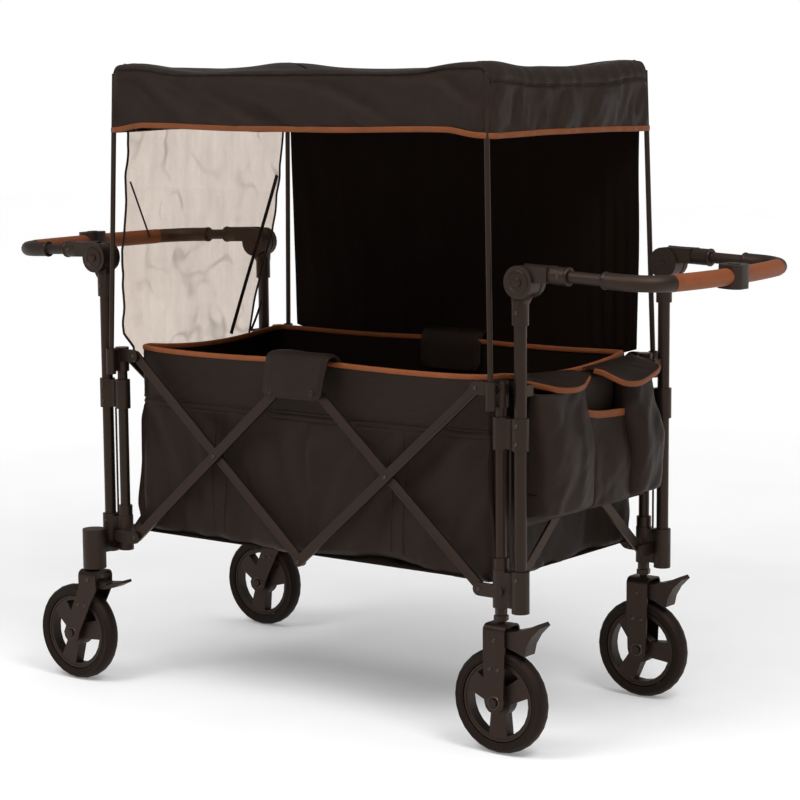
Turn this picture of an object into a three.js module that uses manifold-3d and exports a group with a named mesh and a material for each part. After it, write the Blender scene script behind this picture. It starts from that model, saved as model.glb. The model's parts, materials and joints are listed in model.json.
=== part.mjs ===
// Kids pull wagon: two rigid end frames joined by folding side scissors, with a fabric tub and a canopy.
// Millimetres, +Z up, +X towards the rear end with the pockets, -Y the near side, floor at z = 0.
import * as THREE from "three";
import { mergeVertices } from "three/addons/utils/BufferGeometryUtils.js";
import Module from "manifold-3d";

const wasm = await Module();
wasm.setup();

// ---- driving dimensions ----
const GAP = 0.3; // between pieces that touch
const POST_X = 450; // corner posts, from the middle
const POST_Y = 240;
const POST_R = 10;
const TUBE_X = 491; // handle tubes, outboard of the posts
const TUBE_R = 11.3;
const WALL = 1.5; // of the round tubes

const BRACKET_TOP = 332; // lower corner brackets
const BRACKET_LOW = 257;
const SOCKET_R = 15;
const SLEEVE_LOW = 545; // double sleeve that ties a post to its handle tube
const SLEEVE_HIGH = 602;
const POST_TOP = 666;
const CAP_LOW = 619; // bracket at the post's top
const COLLAR_HIGH = 352;
const COLLAR_R = 14; // foot collar and top bracket of a post
const BRACKET_WEB = { half: 9, rise: 8, drop: 4 }; // of a lower bracket, between its two sockets
const SLEEVE_WEB = { half: 8, inset: 2 };
const TUBE_BORE_TOP = 723.5; // above it the handle tube is solid
const RELEASE_ROD = { x: 470, r: 2 }; // from a lower bracket up to the double sleeve

const PIN_X = 410; // pins of the side scissors
const PIN_LOW = 293;
const PIN_HIGH = 652;
const PIN_R = 3.5;
const PIN_HOLE_R = 4.3;
const BAR_W = 19;
const INNER_BAR = [240, 247]; // distances from the middle plane
const OUTER_BAR = [248, 255];
const LUG_T = 6;

const BRACE_X = [456, 466]; // X brace of each end frame
const BRACE_LOW_Y = 205;
const BRACE_HIGH_Y = 212;
const BRACE_HIGH_Z = 648;
const LOW_LUG = { thick: 7, y: 190, half: 11 }; // of a lower bracket, that the brace is riveted to
const HIGH_LUG = { back: 6, front: 3, y: [204, 222], half: 10 }; // of a handle tube

const WHEEL_R = 95;
const TYRE_HALF = 16;
const RIM_R = 74;
const AXLE_R = 5;
const FORK_HALF = 24.5;
const FORK_T = 3.5;
const FORK_W = 46;
const FORK_FOOT = { drop: 24, bend: 12, r: 20, neck: 190 };
const BOLT_HEAD = { r: 8, reach: 4 };
const HUB = { half: 11, bossR: 17, bossHalf: 18, inner: 27, outer: 64, wide: 0.74, narrow: 0.44 };
const REAR_FORK_TOP = 235;
const WHEEL_STEM = { r: 7, top: 252, nutR: 11, nutLow: 250, collar: [240, 245] };
const FRONT_FORK_TOP = 226;
const CASTER_X = 493; // swivel axis of the front casters
const CASTER_Y = 286;
const CASTER_TRAIL = 46;
const SPOKE_AT = { rear_near: 30, rear_far: 0, front_near: 10, front_far: 20 }; // degrees
const HOUSING_R = 23;
const HOUSING_TOP = 307;
const SWIVEL_STEM_R = 9.4;
const SWIVEL_STEM_TOP = 280;
const HOUSING_ARM = { x: [-15, 17], z: [259, 275] }; // ties a caster housing to its lower bracket
const HOUSING_WEB = { x: [-3, 6], z: [262, 303] };

const HINGE_X = 500; // handle hinge
const HINGE_Z = 840;
const DISC_R = 28;
const KNUCKLE_HALF = 10;
const CHEEK_HALF = 23;
const HINGE_PIN_R = 5;
const NECK = { low: 800, half: 12, into: 8, share: 0.8 }; // widens from the handle tube to the disc
const NECK_SOCKET = [764, 808];
const ARM_Z = 856;
const ARM_R = 15.5;
const ARM_END = 592;
const ARM_BORE_START = 533;
const SLIDE_R = 10.4; // the handle's tube that telescopes into the arm
const SLIDE_START = 566;
const U_R = 14.5;
const U_START = 650;
const GRIP_X = 763; // middle of the crossbar
const GRIP_R = 15.3;
const GRIP_HALF = 183;
const BOW = 14; // the crossbar's ends lie this far behind its middle
const CORE_R = 10;
const BLOCK = { halfX: 23, halfY: 26, low: 835, high: 877, corner: 17 };
const BUTTON_R = 11;
const DRAWN_OUT = { rear: 9, front: -9 }; // of each handle from the middle of its travel
const DROOP = 2.4; // degrees that the handles rest below level

const ROD_R = 5;
const ROD_FOOT_Y = 271;
const ROD_TOP = new THREE.Vector3(434, 260, 1196);
const ROD_FOOT_Z = 630;
const ROD_SOCKET_R = 9.6;

const TUB = { x: 432, y: 233, low: 300, high: 668, wall: 4, corner: 20 };
const CANOPY = { x: 450, y: 274, low: 1084, high: 1208, wall: 4, corner: 14 };

// ---- materials ----
function material(name, color, roughness, metalness) {
  return new THREE.MeshStandardMaterial({ name, color, roughness, metalness });
}
const FRAME_METAL = material("frame_metal", 0x33302d, 0.45, 0.6);
const PLASTIC = material("black_plastic", 0x2b2827, 0.55, 0);
const HUB_PLASTIC = material("hub_plastic", 0x2a2624, 0.5, 0);
const RUBBER = material("tyre_rubber", 0x2b2522, 0.8, 0);
const FABRIC = material("wagon_fabric", 0x241e1a, 0.85, 0);
const MESH = material("sheer_mesh", 0xc9b8ae, 0.9, 0);
const LEATHER = material("tan_leather", 0xb06a46, 0.6, 0);

// ---- solids ----
function signedVolume(position, index) {
  const corner = [new THREE.Vector3(), new THREE.Vector3(), new THREE.Vector3()];
  let sum = 0;
  for (let i = 0; i < index.count; i += 3) {
    corner.forEach((v, k) => v.fromBufferAttribute(position, index.getX(i + k)));
    sum += corner[0].dot(corner[1].cross(corner[2])) / 6;
  }
  return sum;
}

function solid(geometry) {
  const bare = geometry.clone();
  bare.deleteAttribute("normal");
  bare.deleteAttribute("uv");
  const merged = mergeVertices(bare, 1e-4);
  const vertProperties = new Float32Array(merged.attributes.position.array);
  const triVerts = new Uint32Array(merged.index.array);
  if (signedVolume(merged.attributes.position, merged.index) < 0) {
    for (let i = 0; i < triVerts.length; i += 3) {
      [triVerts[i], triVerts[i + 1]] = [triVerts[i + 1], triVerts[i]];
    }
  }
  return new wasm.Manifold(new wasm.Mesh({ numProp: 3, vertProperties, triVerts }));
}

function surface(body) {
  const { vertProperties, triVerts } = body.getMesh();
  const geometry = new THREE.BufferGeometry();
  geometry.setAttribute("position", new THREE.BufferAttribute(vertProperties, 3));
  geometry.setIndex(new THREE.BufferAttribute(triVerts, 1));
  geometry.computeVertexNormals();
  return geometry;
}

function join(...bodies) {
  return bodies.reduce((sum, body) => sum.add(body));
}

function slab([x0, x1], [y0, y1], [z0, z1]) {
  const box = new THREE.BoxGeometry(Math.abs(x1 - x0), Math.abs(y1 - y0), Math.abs(z1 - z0));
  return solid(box.translate((x0 + x1) / 2, (y0 + y1) / 2, (z0 + z1) / 2));
}

// A round bar between two points.
function bar(radius, from, to, sides = 12) {
  const [a, b] = [new THREE.Vector3(...from), new THREE.Vector3(...to)];
  const along = b.clone().sub(a);
  const cylinder = new THREE.CylinderGeometry(radius, radius, along.length(), sides);
  const turn = new THREE.Quaternion().setFromUnitVectors(new THREE.Vector3(0, 1, 0), along.normalize());
  const middle = a.add(b).multiplyScalar(0.5);
  return solid(cylinder.applyQuaternion(turn).translate(middle.x, middle.y, middle.z));
}

// An outline drawn in one plane and extruded across it, from low to high.
const PLANES = {
  xy: [new THREE.Vector3(1, 0, 0), new THREE.Vector3(0, 1, 0)],
  xz: [new THREE.Vector3(1, 0, 0), new THREE.Vector3(0, 0, 1)],
  yz: [new THREE.Vector3(0, 1, 0), new THREE.Vector3(0, 0, 1)],
};
function plate(shape, plane, [c0, c1], curveSegments = 3) {
  const [low, high] = [Math.min(c0, c1), Math.max(c0, c1)];
  const depth = high - low;
  const geometry = new THREE.ExtrudeGeometry(shape, { depth, bevelEnabled: false, curveSegments });
  const [u, v] = PLANES[plane];
  const across = u.clone().cross(v);
  geometry.applyMatrix4(new THREE.Matrix4().makeBasis(u, v, across));
  const start = across.dot(new THREE.Vector3(1, 1, 1)) > 0 ? low : high;
  const shift = [across.x, across.y, across.z].map((part) => Math.abs(part) * start);
  return solid(geometry.translate(...shift));
}

function polygon(points) {
  return new THREE.Shape(points.map(([u, v]) => new THREE.Vector2(u, v)));
}

function roundedRectangle(halfU, halfV, radius) {
  const shape = new THREE.Shape();
  shape.absarc(halfU - radius, halfV - radius, radius, 0, Math.PI / 2);
  shape.absarc(radius - halfU, halfV - radius, radius, Math.PI / 2, Math.PI);
  shape.absarc(radius - halfU, radius - halfV, radius, Math.PI, 1.5 * Math.PI);
  shape.absarc(halfU - radius, radius - halfV, radius, 1.5 * Math.PI, 2 * Math.PI);
  return shape;
}

// A flat strip with round ends about two points.
function strip([ua, va], [ub, vb], halfWidth) {
  const heading = Math.atan2(vb - va, ub - ua);
  const shape = new THREE.Shape();
  shape.absarc(ub, vb, halfWidth, heading - Math.PI / 2, heading + Math.PI / 2);
  shape.absarc(ua, va, halfWidth, heading + Math.PI / 2, heading + 1.5 * Math.PI);
  return shape;
}

// ---- the object, node by node ----
const wagon = new THREE.Group();
function node(name, body, look) {
  const mesh = new THREE.Mesh(surface(body), look.clone());
  mesh.name = name;
  wagon.add(mesh);
}

const ENDS = [["rear", 1], ["front", -1]];
const SIDES = [["near", -1], ["far", 1]];
const CORNERS = ENDS.flatMap(([endName, end]) =>
  SIDES.map(([sideName, side]) => ({ place: `${endName}_${sideName}`, end, side })));

// A bracket's ear outboard of a scissor bar, with the pin that the bar turns on.
function ear(end, side, pinZ, layer) {
  const inside = layer[1] + 1;
  const outside = inside + LUG_T;
  const outline = strip([PIN_X * end, pinZ], [POST_X * end, pinZ], 12);
  const tip = layer[0] - GAP;
  return join(
    plate(outline, "xz", [inside * side, outside * side]),
    slab([(POST_X - 14) * end, POST_X * end], [POST_Y * side, outside * side], [pinZ - 12, pinZ + 12]),
    bar(PIN_R, [PIN_X * end, tip * side, pinZ], [PIN_X * end, (inside + 1) * side, pinZ], 12),
  );
}

function lowerBracket({ end, side }) {
  const [postX, tubeX, y] = [POST_X * end, TUBE_X * end, POST_Y * side];
  const layer = end > 0 ? INNER_BAR : OUTER_BAR;
  const { half, rise, drop } = BRACKET_WEB;
  const lugX = [(BRACE_X[1] + GAP) * end, (BRACE_X[1] + LOW_LUG.thick) * end];
  const rodX = RELEASE_ROD.x * end;
  const body = join(
    bar(SOCKET_R, [postX, y, BRACKET_LOW + 6], [postX, y, BRACKET_TOP]),
    bar(SOCKET_R + 1, [tubeX, y, BRACKET_LOW], [tubeX, y, BRACKET_TOP]),
    slab([postX, tubeX], [y - half, y + half], [BRACKET_LOW + rise, BRACKET_TOP - drop]),
    ear(end, side, PIN_LOW, layer),
    slab(lugX, [LOW_LUG.y * side, y], [PIN_LOW - LOW_LUG.half, PIN_LOW + LOW_LUG.half]),
    bar(RELEASE_ROD.r, [rodX, y, BRACKET_TOP - rise], [rodX, y, SLEEVE_LOW - GAP], 8),
  );
  return end > 0 ? withWheelStem(body, postX, y) : withCasterHousing(body, side, y);
}

function withWheelStem(body, x, y) {
  const { r, top, nutR, nutLow, collar } = WHEEL_STEM;
  return join(
    body,
    bar(nutR, [x, y, nutLow], [x, y, BRACKET_LOW + BRACKET_WEB.rise], 6),
    bar(r, [x, y, REAR_FORK_TOP + GAP], [x, y, top], 14),
    bar(nutR, [x, y, collar[0]], [x, y, collar[1]], 12),
  );
}

function withCasterHousing(body, side, y) {
  const [x, casterY] = [-CASTER_X, CASTER_Y * side];
  const housing = bar(HOUSING_R, [x, casterY, FRONT_FORK_TOP + 3], [x, casterY, HOUSING_TOP], 18);
  const tie = (part) => slab([x + part.x[0], x + part.x[1]], [casterY, y], part.z);
  const bore = bar(SWIVEL_STEM_R + 0.6, [x, casterY, FRONT_FORK_TOP], [x, casterY, SWIVEL_STEM_TOP + 2]);
  return join(body, housing, tie(HOUSING_ARM), tie(HOUSING_WEB)).subtract(bore);
}

for (const corner of CORNERS) {
  node(`lower_bracket_${corner.place}`, lowerBracket(corner), PLASTIC);
}

// Handle tube with its double sleeve and the fixed half of the handle hinge.
function handleTube({ end, side }) {
  const [postX, tubeX, y] = [POST_X * end, TUBE_X * end, POST_Y * side];
  const hingeX = HINGE_X * end;
  const neck = polygon([
    [tubeX - NECK.half, NECK.low],
    [tubeX + NECK.half, NECK.low],
    [hingeX + DISC_R * NECK.share, HINGE_Z - NECK.into],
    [hingeX - DISC_R * NECK.share, HINGE_Z - NECK.into],
  ]);
  const lugFront = (TUBE_X + HIGH_LUG.front) * end;
  const lugZ = [BRACE_HIGH_Z - HIGH_LUG.half, BRACE_HIGH_Z + HIGH_LUG.half];
  const [lugNear, lugFar] = HIGH_LUG.y;
  return join(
    bar(TUBE_R, [tubeX, y, BRACKET_TOP + GAP], [tubeX, y, NECK.low]),
    bar(SOCKET_R + 0.5, [tubeX, y, SLEEVE_LOW], [tubeX, y, SLEEVE_HIGH]),
    bar(SOCKET_R, [postX, y, SLEEVE_LOW], [postX, y, SLEEVE_HIGH]),
    slab(
      [postX, tubeX],
      [y - SLEEVE_WEB.half, y + SLEEVE_WEB.half],
      [SLEEVE_LOW + SLEEVE_WEB.inset, SLEEVE_HIGH - SLEEVE_WEB.inset],
    ),
    bar(SOCKET_R, [tubeX, y, NECK_SOCKET[0]], [tubeX, y, NECK_SOCKET[1]]),
    plate(neck, "xz", [y - KNUCKLE_HALF, y + KNUCKLE_HALF]),
    bar(DISC_R, [hingeX, y - KNUCKLE_HALF, HINGE_Z], [hingeX, y + KNUCKLE_HALF, HINGE_Z], 20),
    bar(HINGE_PIN_R, [hingeX, y - CHEEK_HALF - 1, HINGE_Z], [hingeX, y + CHEEK_HALF + 1, HINGE_Z], 12),
    slab([(BRACE_X[1] + GAP) * end, lugFront], [lugNear * side, lugFar * side], lugZ),
    slab([(TUBE_X - HIGH_LUG.back) * end, lugFront], [lugNear * side, y], lugZ),
  )
    .subtract(bar(POST_R + 0.7, [postX, y, SLEEVE_LOW - 1], [postX, y, SLEEVE_HIGH + 1]))
    .subtract(bar(TUBE_R - WALL, [tubeX, y, BRACKET_TOP], [tubeX, y, TUBE_BORE_TOP]));
}
for (const corner of CORNERS) {
  node(`handle_tube_${corner.place}`, handleTube(corner), FRAME_METAL);
}

// X brace across each end frame: two flat bars riveted where they cross.
function endBrace(end) {
  const middle = (BRACE_X[0] + BRACE_X[1]) / 2;
  const half = BAR_W / 2;
  const crossZ = PIN_LOW + ((BRACE_HIGH_Z - PIN_LOW) * BRACE_LOW_Y) / (BRACE_LOW_Y + BRACE_HIGH_Y);
  const rising = strip([-BRACE_LOW_Y, PIN_LOW], [BRACE_HIGH_Y, BRACE_HIGH_Z], half);
  const falling = strip([BRACE_LOW_Y, PIN_LOW], [-BRACE_HIGH_Y, BRACE_HIGH_Z], half);
  return join(
    plate(rising, "yz", [BRACE_X[0] * end, middle * end]),
    plate(falling, "yz", [middle * end, BRACE_X[1] * end]),
    bar(6, [(BRACE_X[0] + 1) * end, 0, crossZ], [(BRACE_X[1] - 1) * end, 0, crossZ], 12),
  );
}
for (const [endName, end] of ENDS) {
  node(`end_brace_${endName}`, endBrace(end), FRAME_METAL);
}

// Corner post with its foot collar and the bracket riveted to its top.
function cornerPost({ end, side }) {
  const [x, y] = [POST_X * end, POST_Y * side];
  const layer = end > 0 ? OUTER_BAR : INNER_BAR;
  const rodY = ROD_FOOT_Y * side;
  return join(
    bar(POST_R, [x, y, BRACKET_TOP + GAP], [x, y, CAP_LOW + 4]),
    bar(COLLAR_R, [x, y, BRACKET_TOP + GAP], [x, y, COLLAR_HIGH]),
    bar(COLLAR_R, [x, y, CAP_LOW], [x, y, POST_TOP]),
    bar(ROD_SOCKET_R, [x, rodY, CAP_LOW - 3], [x, rodY, POST_TOP]),
    slab([x - 6, x + 6], [y, rodY], [CAP_LOW + 4, POST_TOP - 4]),
    ear(end, side, PIN_HIGH, layer),
  )
    .subtract(bar(POST_R - WALL, [x, y, BRACKET_TOP], [x, y, CAP_LOW + 2]))
    .subtract(bar(ROD_R + 1.8, [x, rodY, ROD_FOOT_Z - 2], [x, rodY, POST_TOP + 1]));
}
for (const corner of CORNERS) {
  node(`corner_post_${corner.place}`, cornerPost(corner), FRAME_METAL);
}

function canopyRod({ end, side }) {
  const foot = [POST_X * end, ROD_FOOT_Y * side, ROD_FOOT_Z];
  return bar(ROD_R, foot, [ROD_TOP.x * end, ROD_TOP.y * side, ROD_TOP.z], 12);
}
for (const corner of CORNERS) {
  node(`canopy_rod_${corner.place}`, canopyRod(corner), FRAME_METAL);
}

// Side scissors: four flat bars a side. Outer bars carry the pins that pass through the inner ones.
const PIN = {
  lowFront: [-PIN_X, PIN_LOW],
  highFront: [-PIN_X, PIN_HIGH],
  lowRear: [PIN_X, PIN_LOW],
  highRear: [PIN_X, PIN_HIGH],
  lowMiddle: [0, PIN_LOW],
  highMiddle: [0, PIN_HIGH],
};
const BARS = [
  { name: "front_outer", ends: ["lowFront", "highMiddle"], pin: "highMiddle", hole: "lowFront" },
  { name: "rear_outer", ends: ["lowMiddle", "highRear"], pin: "lowMiddle", hole: "highRear" },
  { name: "front_inner", ends: ["highFront", "lowMiddle"] },
  { name: "rear_inner", ends: ["highMiddle", "lowRear"] },
];

function scissorBar({ ends, pin, hole }, side) {
  const [from, to] = ends.map((name) => PIN[name]);
  const middle = [(from[0] + to[0]) / 2, (from[1] + to[1]) / 2];
  const [low, high] = pin ? OUTER_BAR : INNER_BAR;
  const across = ([x, z], radius, y0, y1) => bar(radius, [x, y0 * side, z], [x, y1 * side, z], 12);
  const blank = plate(strip(from, to, BAR_W / 2), "xz", [low * side, high * side]);
  const holes = pin ? [PIN[hole]] : [from, to, middle];
  const pins = pin ? [PIN[pin], middle] : [];
  const drilled = holes.reduce((body, at) => body.subtract(across(at, PIN_HOLE_R, low - 1, high + 1)), blank);
  return join(drilled, ...pins.map((at) => across(at, PIN_R, INNER_BAR[0] - GAP, low + 1)));
}
for (const blueprint of BARS) {
  for (const [sideName, side] of SIDES) {
    node(`scissor_${blueprint.name}_${sideName}`, scissorBar(blueprint, side), FRAME_METAL);
  }
}

// ---- handles ----
// Level parts take their resting place: slid along the arm, then drooped about the hinge.
function resting(body, end, drawnOut = 0) {
  return body
    .translate([(drawnOut - HINGE_X) * end, 0, -HINGE_Z])
    .rotate([0, DROOP * end, 0])
    .translate([HINGE_X * end, 0, HINGE_Z]);
}

// Hinged arm: two cheeks about the fixed disc, and the sleeve that the handle slides in.
function handleArm({ end, side }) {
  const y = POST_Y * side;
  const [hingeX, armEnd] = [HINGE_X * end, ARM_END * end];
  const round = bar(DISC_R + 1, [hingeX, y - CHEEK_HALF, HINGE_Z], [hingeX, y + CHEEK_HALF, HINGE_Z], 20);
  const bridge = polygon([
    [hingeX, ARM_Z - ARM_R + 1],
    [(HINGE_X + 55) * end, ARM_Z - ARM_R + 2],
    [(HINGE_X + 55) * end, ARM_Z + ARM_R - 1],
    [hingeX, ARM_Z + 13],
  ]);
  const slot = KNUCKLE_HALF + 0.8;
  const through = CHEEK_HALF + 7;
  const arm = join(
    round,
    plate(bridge, "xz", [y - 18, y + 18]),
    bar(ARM_R, [hingeX, y, ARM_Z], [armEnd, y, ARM_Z], 16),
  )
    .subtract(bar(DISC_R + 2.5, [hingeX, y - slot, HINGE_Z], [hingeX, y + slot, HINGE_Z], 20))
    .subtract(bar(HINGE_PIN_R + 0.5, [hingeX, y - through, HINGE_Z], [hingeX, y + through, HINGE_Z], 12))
    .subtract(bar(SLIDE_R + 0.7, [ARM_BORE_START * end, y, ARM_Z], [armEnd + end, y, ARM_Z], 14));
  return resting(arm, end);
}
for (const corner of CORNERS) {
  node(`handle_arm_${corner.place}`, handleArm(corner), PLASTIC);
}

// Centre line of the crossbar out to a distance each side of its middle: a shallow bow.
function crossbar(end, half) {
  const sag = BOW * (half / GRIP_HALF) ** 2;
  return new THREE.QuadraticBezierCurve3(
    new THREE.Vector3((GRIP_X - sag) * end, -half, ARM_Z),
    new THREE.Vector3((GRIP_X + sag) * end, 0, ARM_Z),
    new THREE.Vector3((GRIP_X - sag) * end, half, ARM_Z),
  );
}

function swept(radius, extrudePath, steps, curveSegments) {
  const section = new THREE.Shape().absarc(0, 0, radius, 0, 2 * Math.PI);
  return solid(new THREE.ExtrudeGeometry(section, { steps, extrudePath, curveSegments }));
}

// U-shaped bar: a telescoping tube, a sleeve and an elbow at each side, and a thinner core under the grip.
function handleBar(end) {
  const limb = (side) => {
    const y = POST_Y * side;
    const across = POST_Y - GRIP_HALF - GAP;
    const lean = (2 * BOW) / GRIP_HALF;
    const gripEnd = new THREE.Vector3((GRIP_X - BOW) * end, (GRIP_HALF + GAP) * side, ARM_Z);
    const corner = new THREE.Vector3(gripEnd.x - lean * across * end, y, ARM_Z);
    const bendStart = new THREE.Vector3(corner.x - across * end, y, ARM_Z);
    const roundness = 0.55;
    const ease = [bendStart.clone().lerp(corner, roundness), gripEnd.clone().lerp(corner, roundness)];
    const path = new THREE.CurvePath();
    path.add(new THREE.LineCurve3(new THREE.Vector3(U_START * end, y, ARM_Z), bendStart));
    path.add(new THREE.CubicBezierCurve3(bendStart, ...ease, gripEnd));
    const tube = bar(SLIDE_R, [SLIDE_START * end, y, ARM_Z], [(U_START + 2) * end, y, ARM_Z], 14);
    return swept(U_R, path, 12, 7).add(tube);
  };
  return join(limb(-1), limb(1), swept(CORE_R, crossbar(end, GRIP_HALF + 4), 10, 6));
}

function grip(end) {
  const bore = swept(CORE_R + GAP, crossbar(end, GRIP_HALF + 1), 10, 6);
  return swept(GRIP_R, crossbar(end, GRIP_HALF), 10, 9).subtract(bore);
}

function releaseBlock(end) {
  const x = GRIP_X * end;
  const shape = roundedRectangle(BLOCK.halfX, BLOCK.halfY, BLOCK.corner);
  const well = bar(BUTTON_R + 0.5, [x, 0, BLOCK.high - 5], [x, 0, BLOCK.high + 1], 16);
  return plate(shape, "xy", [BLOCK.low, BLOCK.high])
    .translate([x, 0, 0])
    .subtract(swept(GRIP_R + GAP + 0.1, crossbar(end, BLOCK.halfY + 1), 4, 9))
    .subtract(well);
}

function releaseButton(end) {
  const x = GRIP_X * end;
  return bar(BUTTON_R, [x, 0, BLOCK.high - 1.5], [x, 0, BLOCK.high + 1.5], 16);
}

for (const [endName, end] of ENDS) {
  const place = (body) => resting(body, end, DRAWN_OUT[endName]);
  node(`handle_bar_${endName}`, place(handleBar(end)), PLASTIC);
  node(`grip_${endName}`, place(grip(end)), LEATHER);
  node(`release_block_${endName}`, place(releaseBlock(end)), PLASTIC);
  node(`release_button_${endName}`, place(releaseButton(end)), PLASTIC);
}

// ---- wheels ----
function tyre(x, y) {
  const profile = [
    [RIM_R + 1, -13], [WHEEL_R - 8, -TYRE_HALF], [WHEEL_R - 2, -11], [WHEEL_R, -4],
    [WHEEL_R, 4], [WHEEL_R - 2, 11], [WHEEL_R - 8, TYRE_HALF], [RIM_R + 1, 13], [RIM_R + 1, -13],
  ];
  const points = profile.map(([r, across]) => new THREE.Vector2(r, across));
  return solid(new THREE.LatheGeometry(points, 28).translate(x, y, WHEEL_R));
}

// Hub disc with three wide spokes between rounded windows.
function hub(x, y, spokeAt) {
  const { half, bossR, bossHalf, inner, outer, wide, narrow } = HUB;
  let body = bar(RIM_R, [0, -half, 0], [0, half, 0], 28).add(bar(bossR, [0, -bossHalf, 0], [0, bossHalf, 0]));
  for (let k = 0; k < 3; k += 1) {
    const facing = THREE.MathUtils.degToRad(spokeAt + 60 + 120 * k);
    const window = new THREE.Shape();
    window.absarc(0, 0, outer, facing - wide, facing + wide);
    window.absarc(0, 0, inner, facing + narrow, facing - narrow, true);
    body = body.subtract(plate(window, "xz", [-half - 1, half + 1], 3));
  }
  return body.subtract(bar(AXLE_R + 0.6, [0, -bossHalf - 2, 0], [0, bossHalf + 2, 0], 12))
    .translate([x, y, WHEEL_R]);
}

// Fork bent from one strap, with the axle bolt through it. The axle lies trail behind the stem.
function fork(x, y, top, trail) {
  const bend = FORK_FOOT.bend;
  const [inside, low] = [FORK_HALF - FORK_T, WHEEL_R - FORK_FOOT.drop];
  const strap = new THREE.Shape();
  strap.moveTo(FORK_HALF, low);
  strap.absarc(FORK_HALF - bend, top - bend, bend, 0, Math.PI / 2);
  strap.absarc(bend - FORK_HALF, top - bend, bend, Math.PI / 2, Math.PI);
  strap.lineTo(-FORK_HALF, low);
  strap.lineTo(-inside, low);
  strap.absarc(bend - FORK_HALF, top - bend, bend - FORK_T, Math.PI, Math.PI / 2, true);
  strap.absarc(FORK_HALF - bend, top - bend, bend - FORK_T, Math.PI / 2, 0, true);
  strap.lineTo(inside, low);
  const [axleX, half] = [x - trail, FORK_W / 2];
  const outline = new THREE.Shape();
  outline.moveTo(x + half, top + 1);
  outline.lineTo(x - half, top + 1);
  outline.lineTo(x - half, FORK_FOOT.neck);
  outline.absarc(axleX, WHEEL_R, FORK_FOOT.r, Math.PI, 2 * Math.PI);
  outline.lineTo(x + half, FORK_FOOT.neck);
  const bolt = (radius, reach, sides) =>
    bar(radius, [axleX, y - reach, WHEEL_R], [axleX, y + reach, WHEEL_R], sides);
  return plate(strap, "yz", [x - 90, x + 90])
    .translate([0, y, 0])
    .intersect(plate(outline, "xz", [y - 40, y + 40]))
    .add(bolt(AXLE_R, FORK_HALF + 1, 12))
    .add(bolt(BOLT_HEAD.r, FORK_HALF + BOLT_HEAD.reach, 6).subtract(bolt(BOLT_HEAD.r + 1, FORK_HALF - 1, 6)));
}

for (const { place, end, side } of CORNERS) {
  const rear = end > 0;
  const [x, y] = rear ? [POST_X, POST_Y * side] : [-CASTER_X, CASTER_Y * side];
  const [top, trail] = rear ? [REAR_FORK_TOP, 0] : [FRONT_FORK_TOP, CASTER_TRAIL];
  const stem = bar(SWIVEL_STEM_R, [x, y, top - 1], [x, y, SWIVEL_STEM_TOP]);
  node(`tyre_${place}`, tyre(x - trail, y), RUBBER);
  node(`wheel_hub_${place}`, hub(x - trail, y, SPOKE_AT[place]), HUB_PLASTIC);
  node(`fork_${place}`, rear ? fork(x, y, top, trail) : fork(x, y, top, trail).add(stem), FRAME_METAL);
}

// Brake pedal: a crescent that hugs the tyre's back and rises to a toe tip.
const PEDAL_HALF = 17;
function brakePedal(x, y) {
  const shape = new THREE.Shape();
  shape.moveTo(x - 6, 208);
  shape.lineTo(x + 4, 222);
  shape.quadraticCurveTo(x + 45, 222, x + 88, 246);
  shape.lineTo(x + 93, 240);
  shape.quadraticCurveTo(x + 62, 214, x + 60, 184);
  shape.quadraticCurveTo(x + 34, 195, x - 2, 200);
  return plate(shape, "xz", [y - PEDAL_HALF, y + PEDAL_HALF]);
}

// Swivel lock lever: a thin tongue behind the front fork.
function lockLever(x, y) {
  const shape = new THREE.Shape();
  shape.moveTo(x - 4, 196);
  shape.lineTo(x + 6, 206);
  shape.quadraticCurveTo(x + 52, 200, x + 84, 214);
  shape.lineTo(x + 86, 209);
  shape.quadraticCurveTo(x + 50, 188, x + 10, 190);
  return plate(shape, "xz", [y - PEDAL_HALF + 3, y + PEDAL_HALF - 3]);
}
for (const [sideName, side] of SIDES) {
  node(`brake_pedal_${sideName}`, brakePedal(POST_X, POST_Y * side), PLASTIC);
  node(`swivel_lock_${sideName}`, lockLever(-CASTER_X, CASTER_Y * side), PLASTIC);
}

// ---- soft parts ----
function openShell({ x, y, low, high, wall, corner }, opensUp) {
  const outside = plate(roundedRectangle(x, y, corner), "xy", [low, high]);
  const cavity = roundedRectangle(x - wall, y - wall, corner - wall);
  const span = opensUp ? [low + wall, high + 1] : [low - 1, high - wall];
  return outside.subtract(plate(cavity, "xy", span));
}
node("tub", openShell(TUB, true), FABRIC);
node("canopy", openShell(CANOPY, false), FABRIC);

const MAT_INSET = 8;
const matOutline = roundedRectangle(TUB.x - MAT_INSET, TUB.y - MAT_INSET, TUB.corner - MAT_INSET);
node("floor_mat", plate(matOutline, "xy", [TUB.low + TUB.wall + GAP, TUB.low + 18]), FABRIC);

const CURTAIN_Y = [256.5, 259.5];
const curtain = polygon([[-424, 1090], [424, 1090], [418, TUB.high], [-418, TUB.high]]);
node("side_curtain", plate(curtain, "xz", CURTAIN_Y), FABRIC);

const MESH_X = [-439, -436];
const meshPanel = polygon([[-205, 1090], [232, 1090], [160, TUB.high + 2], [-225, TUB.high + 2]]);
node("mesh_panel", plate(meshPanel, "yz", MESH_X), MESH);

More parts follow.
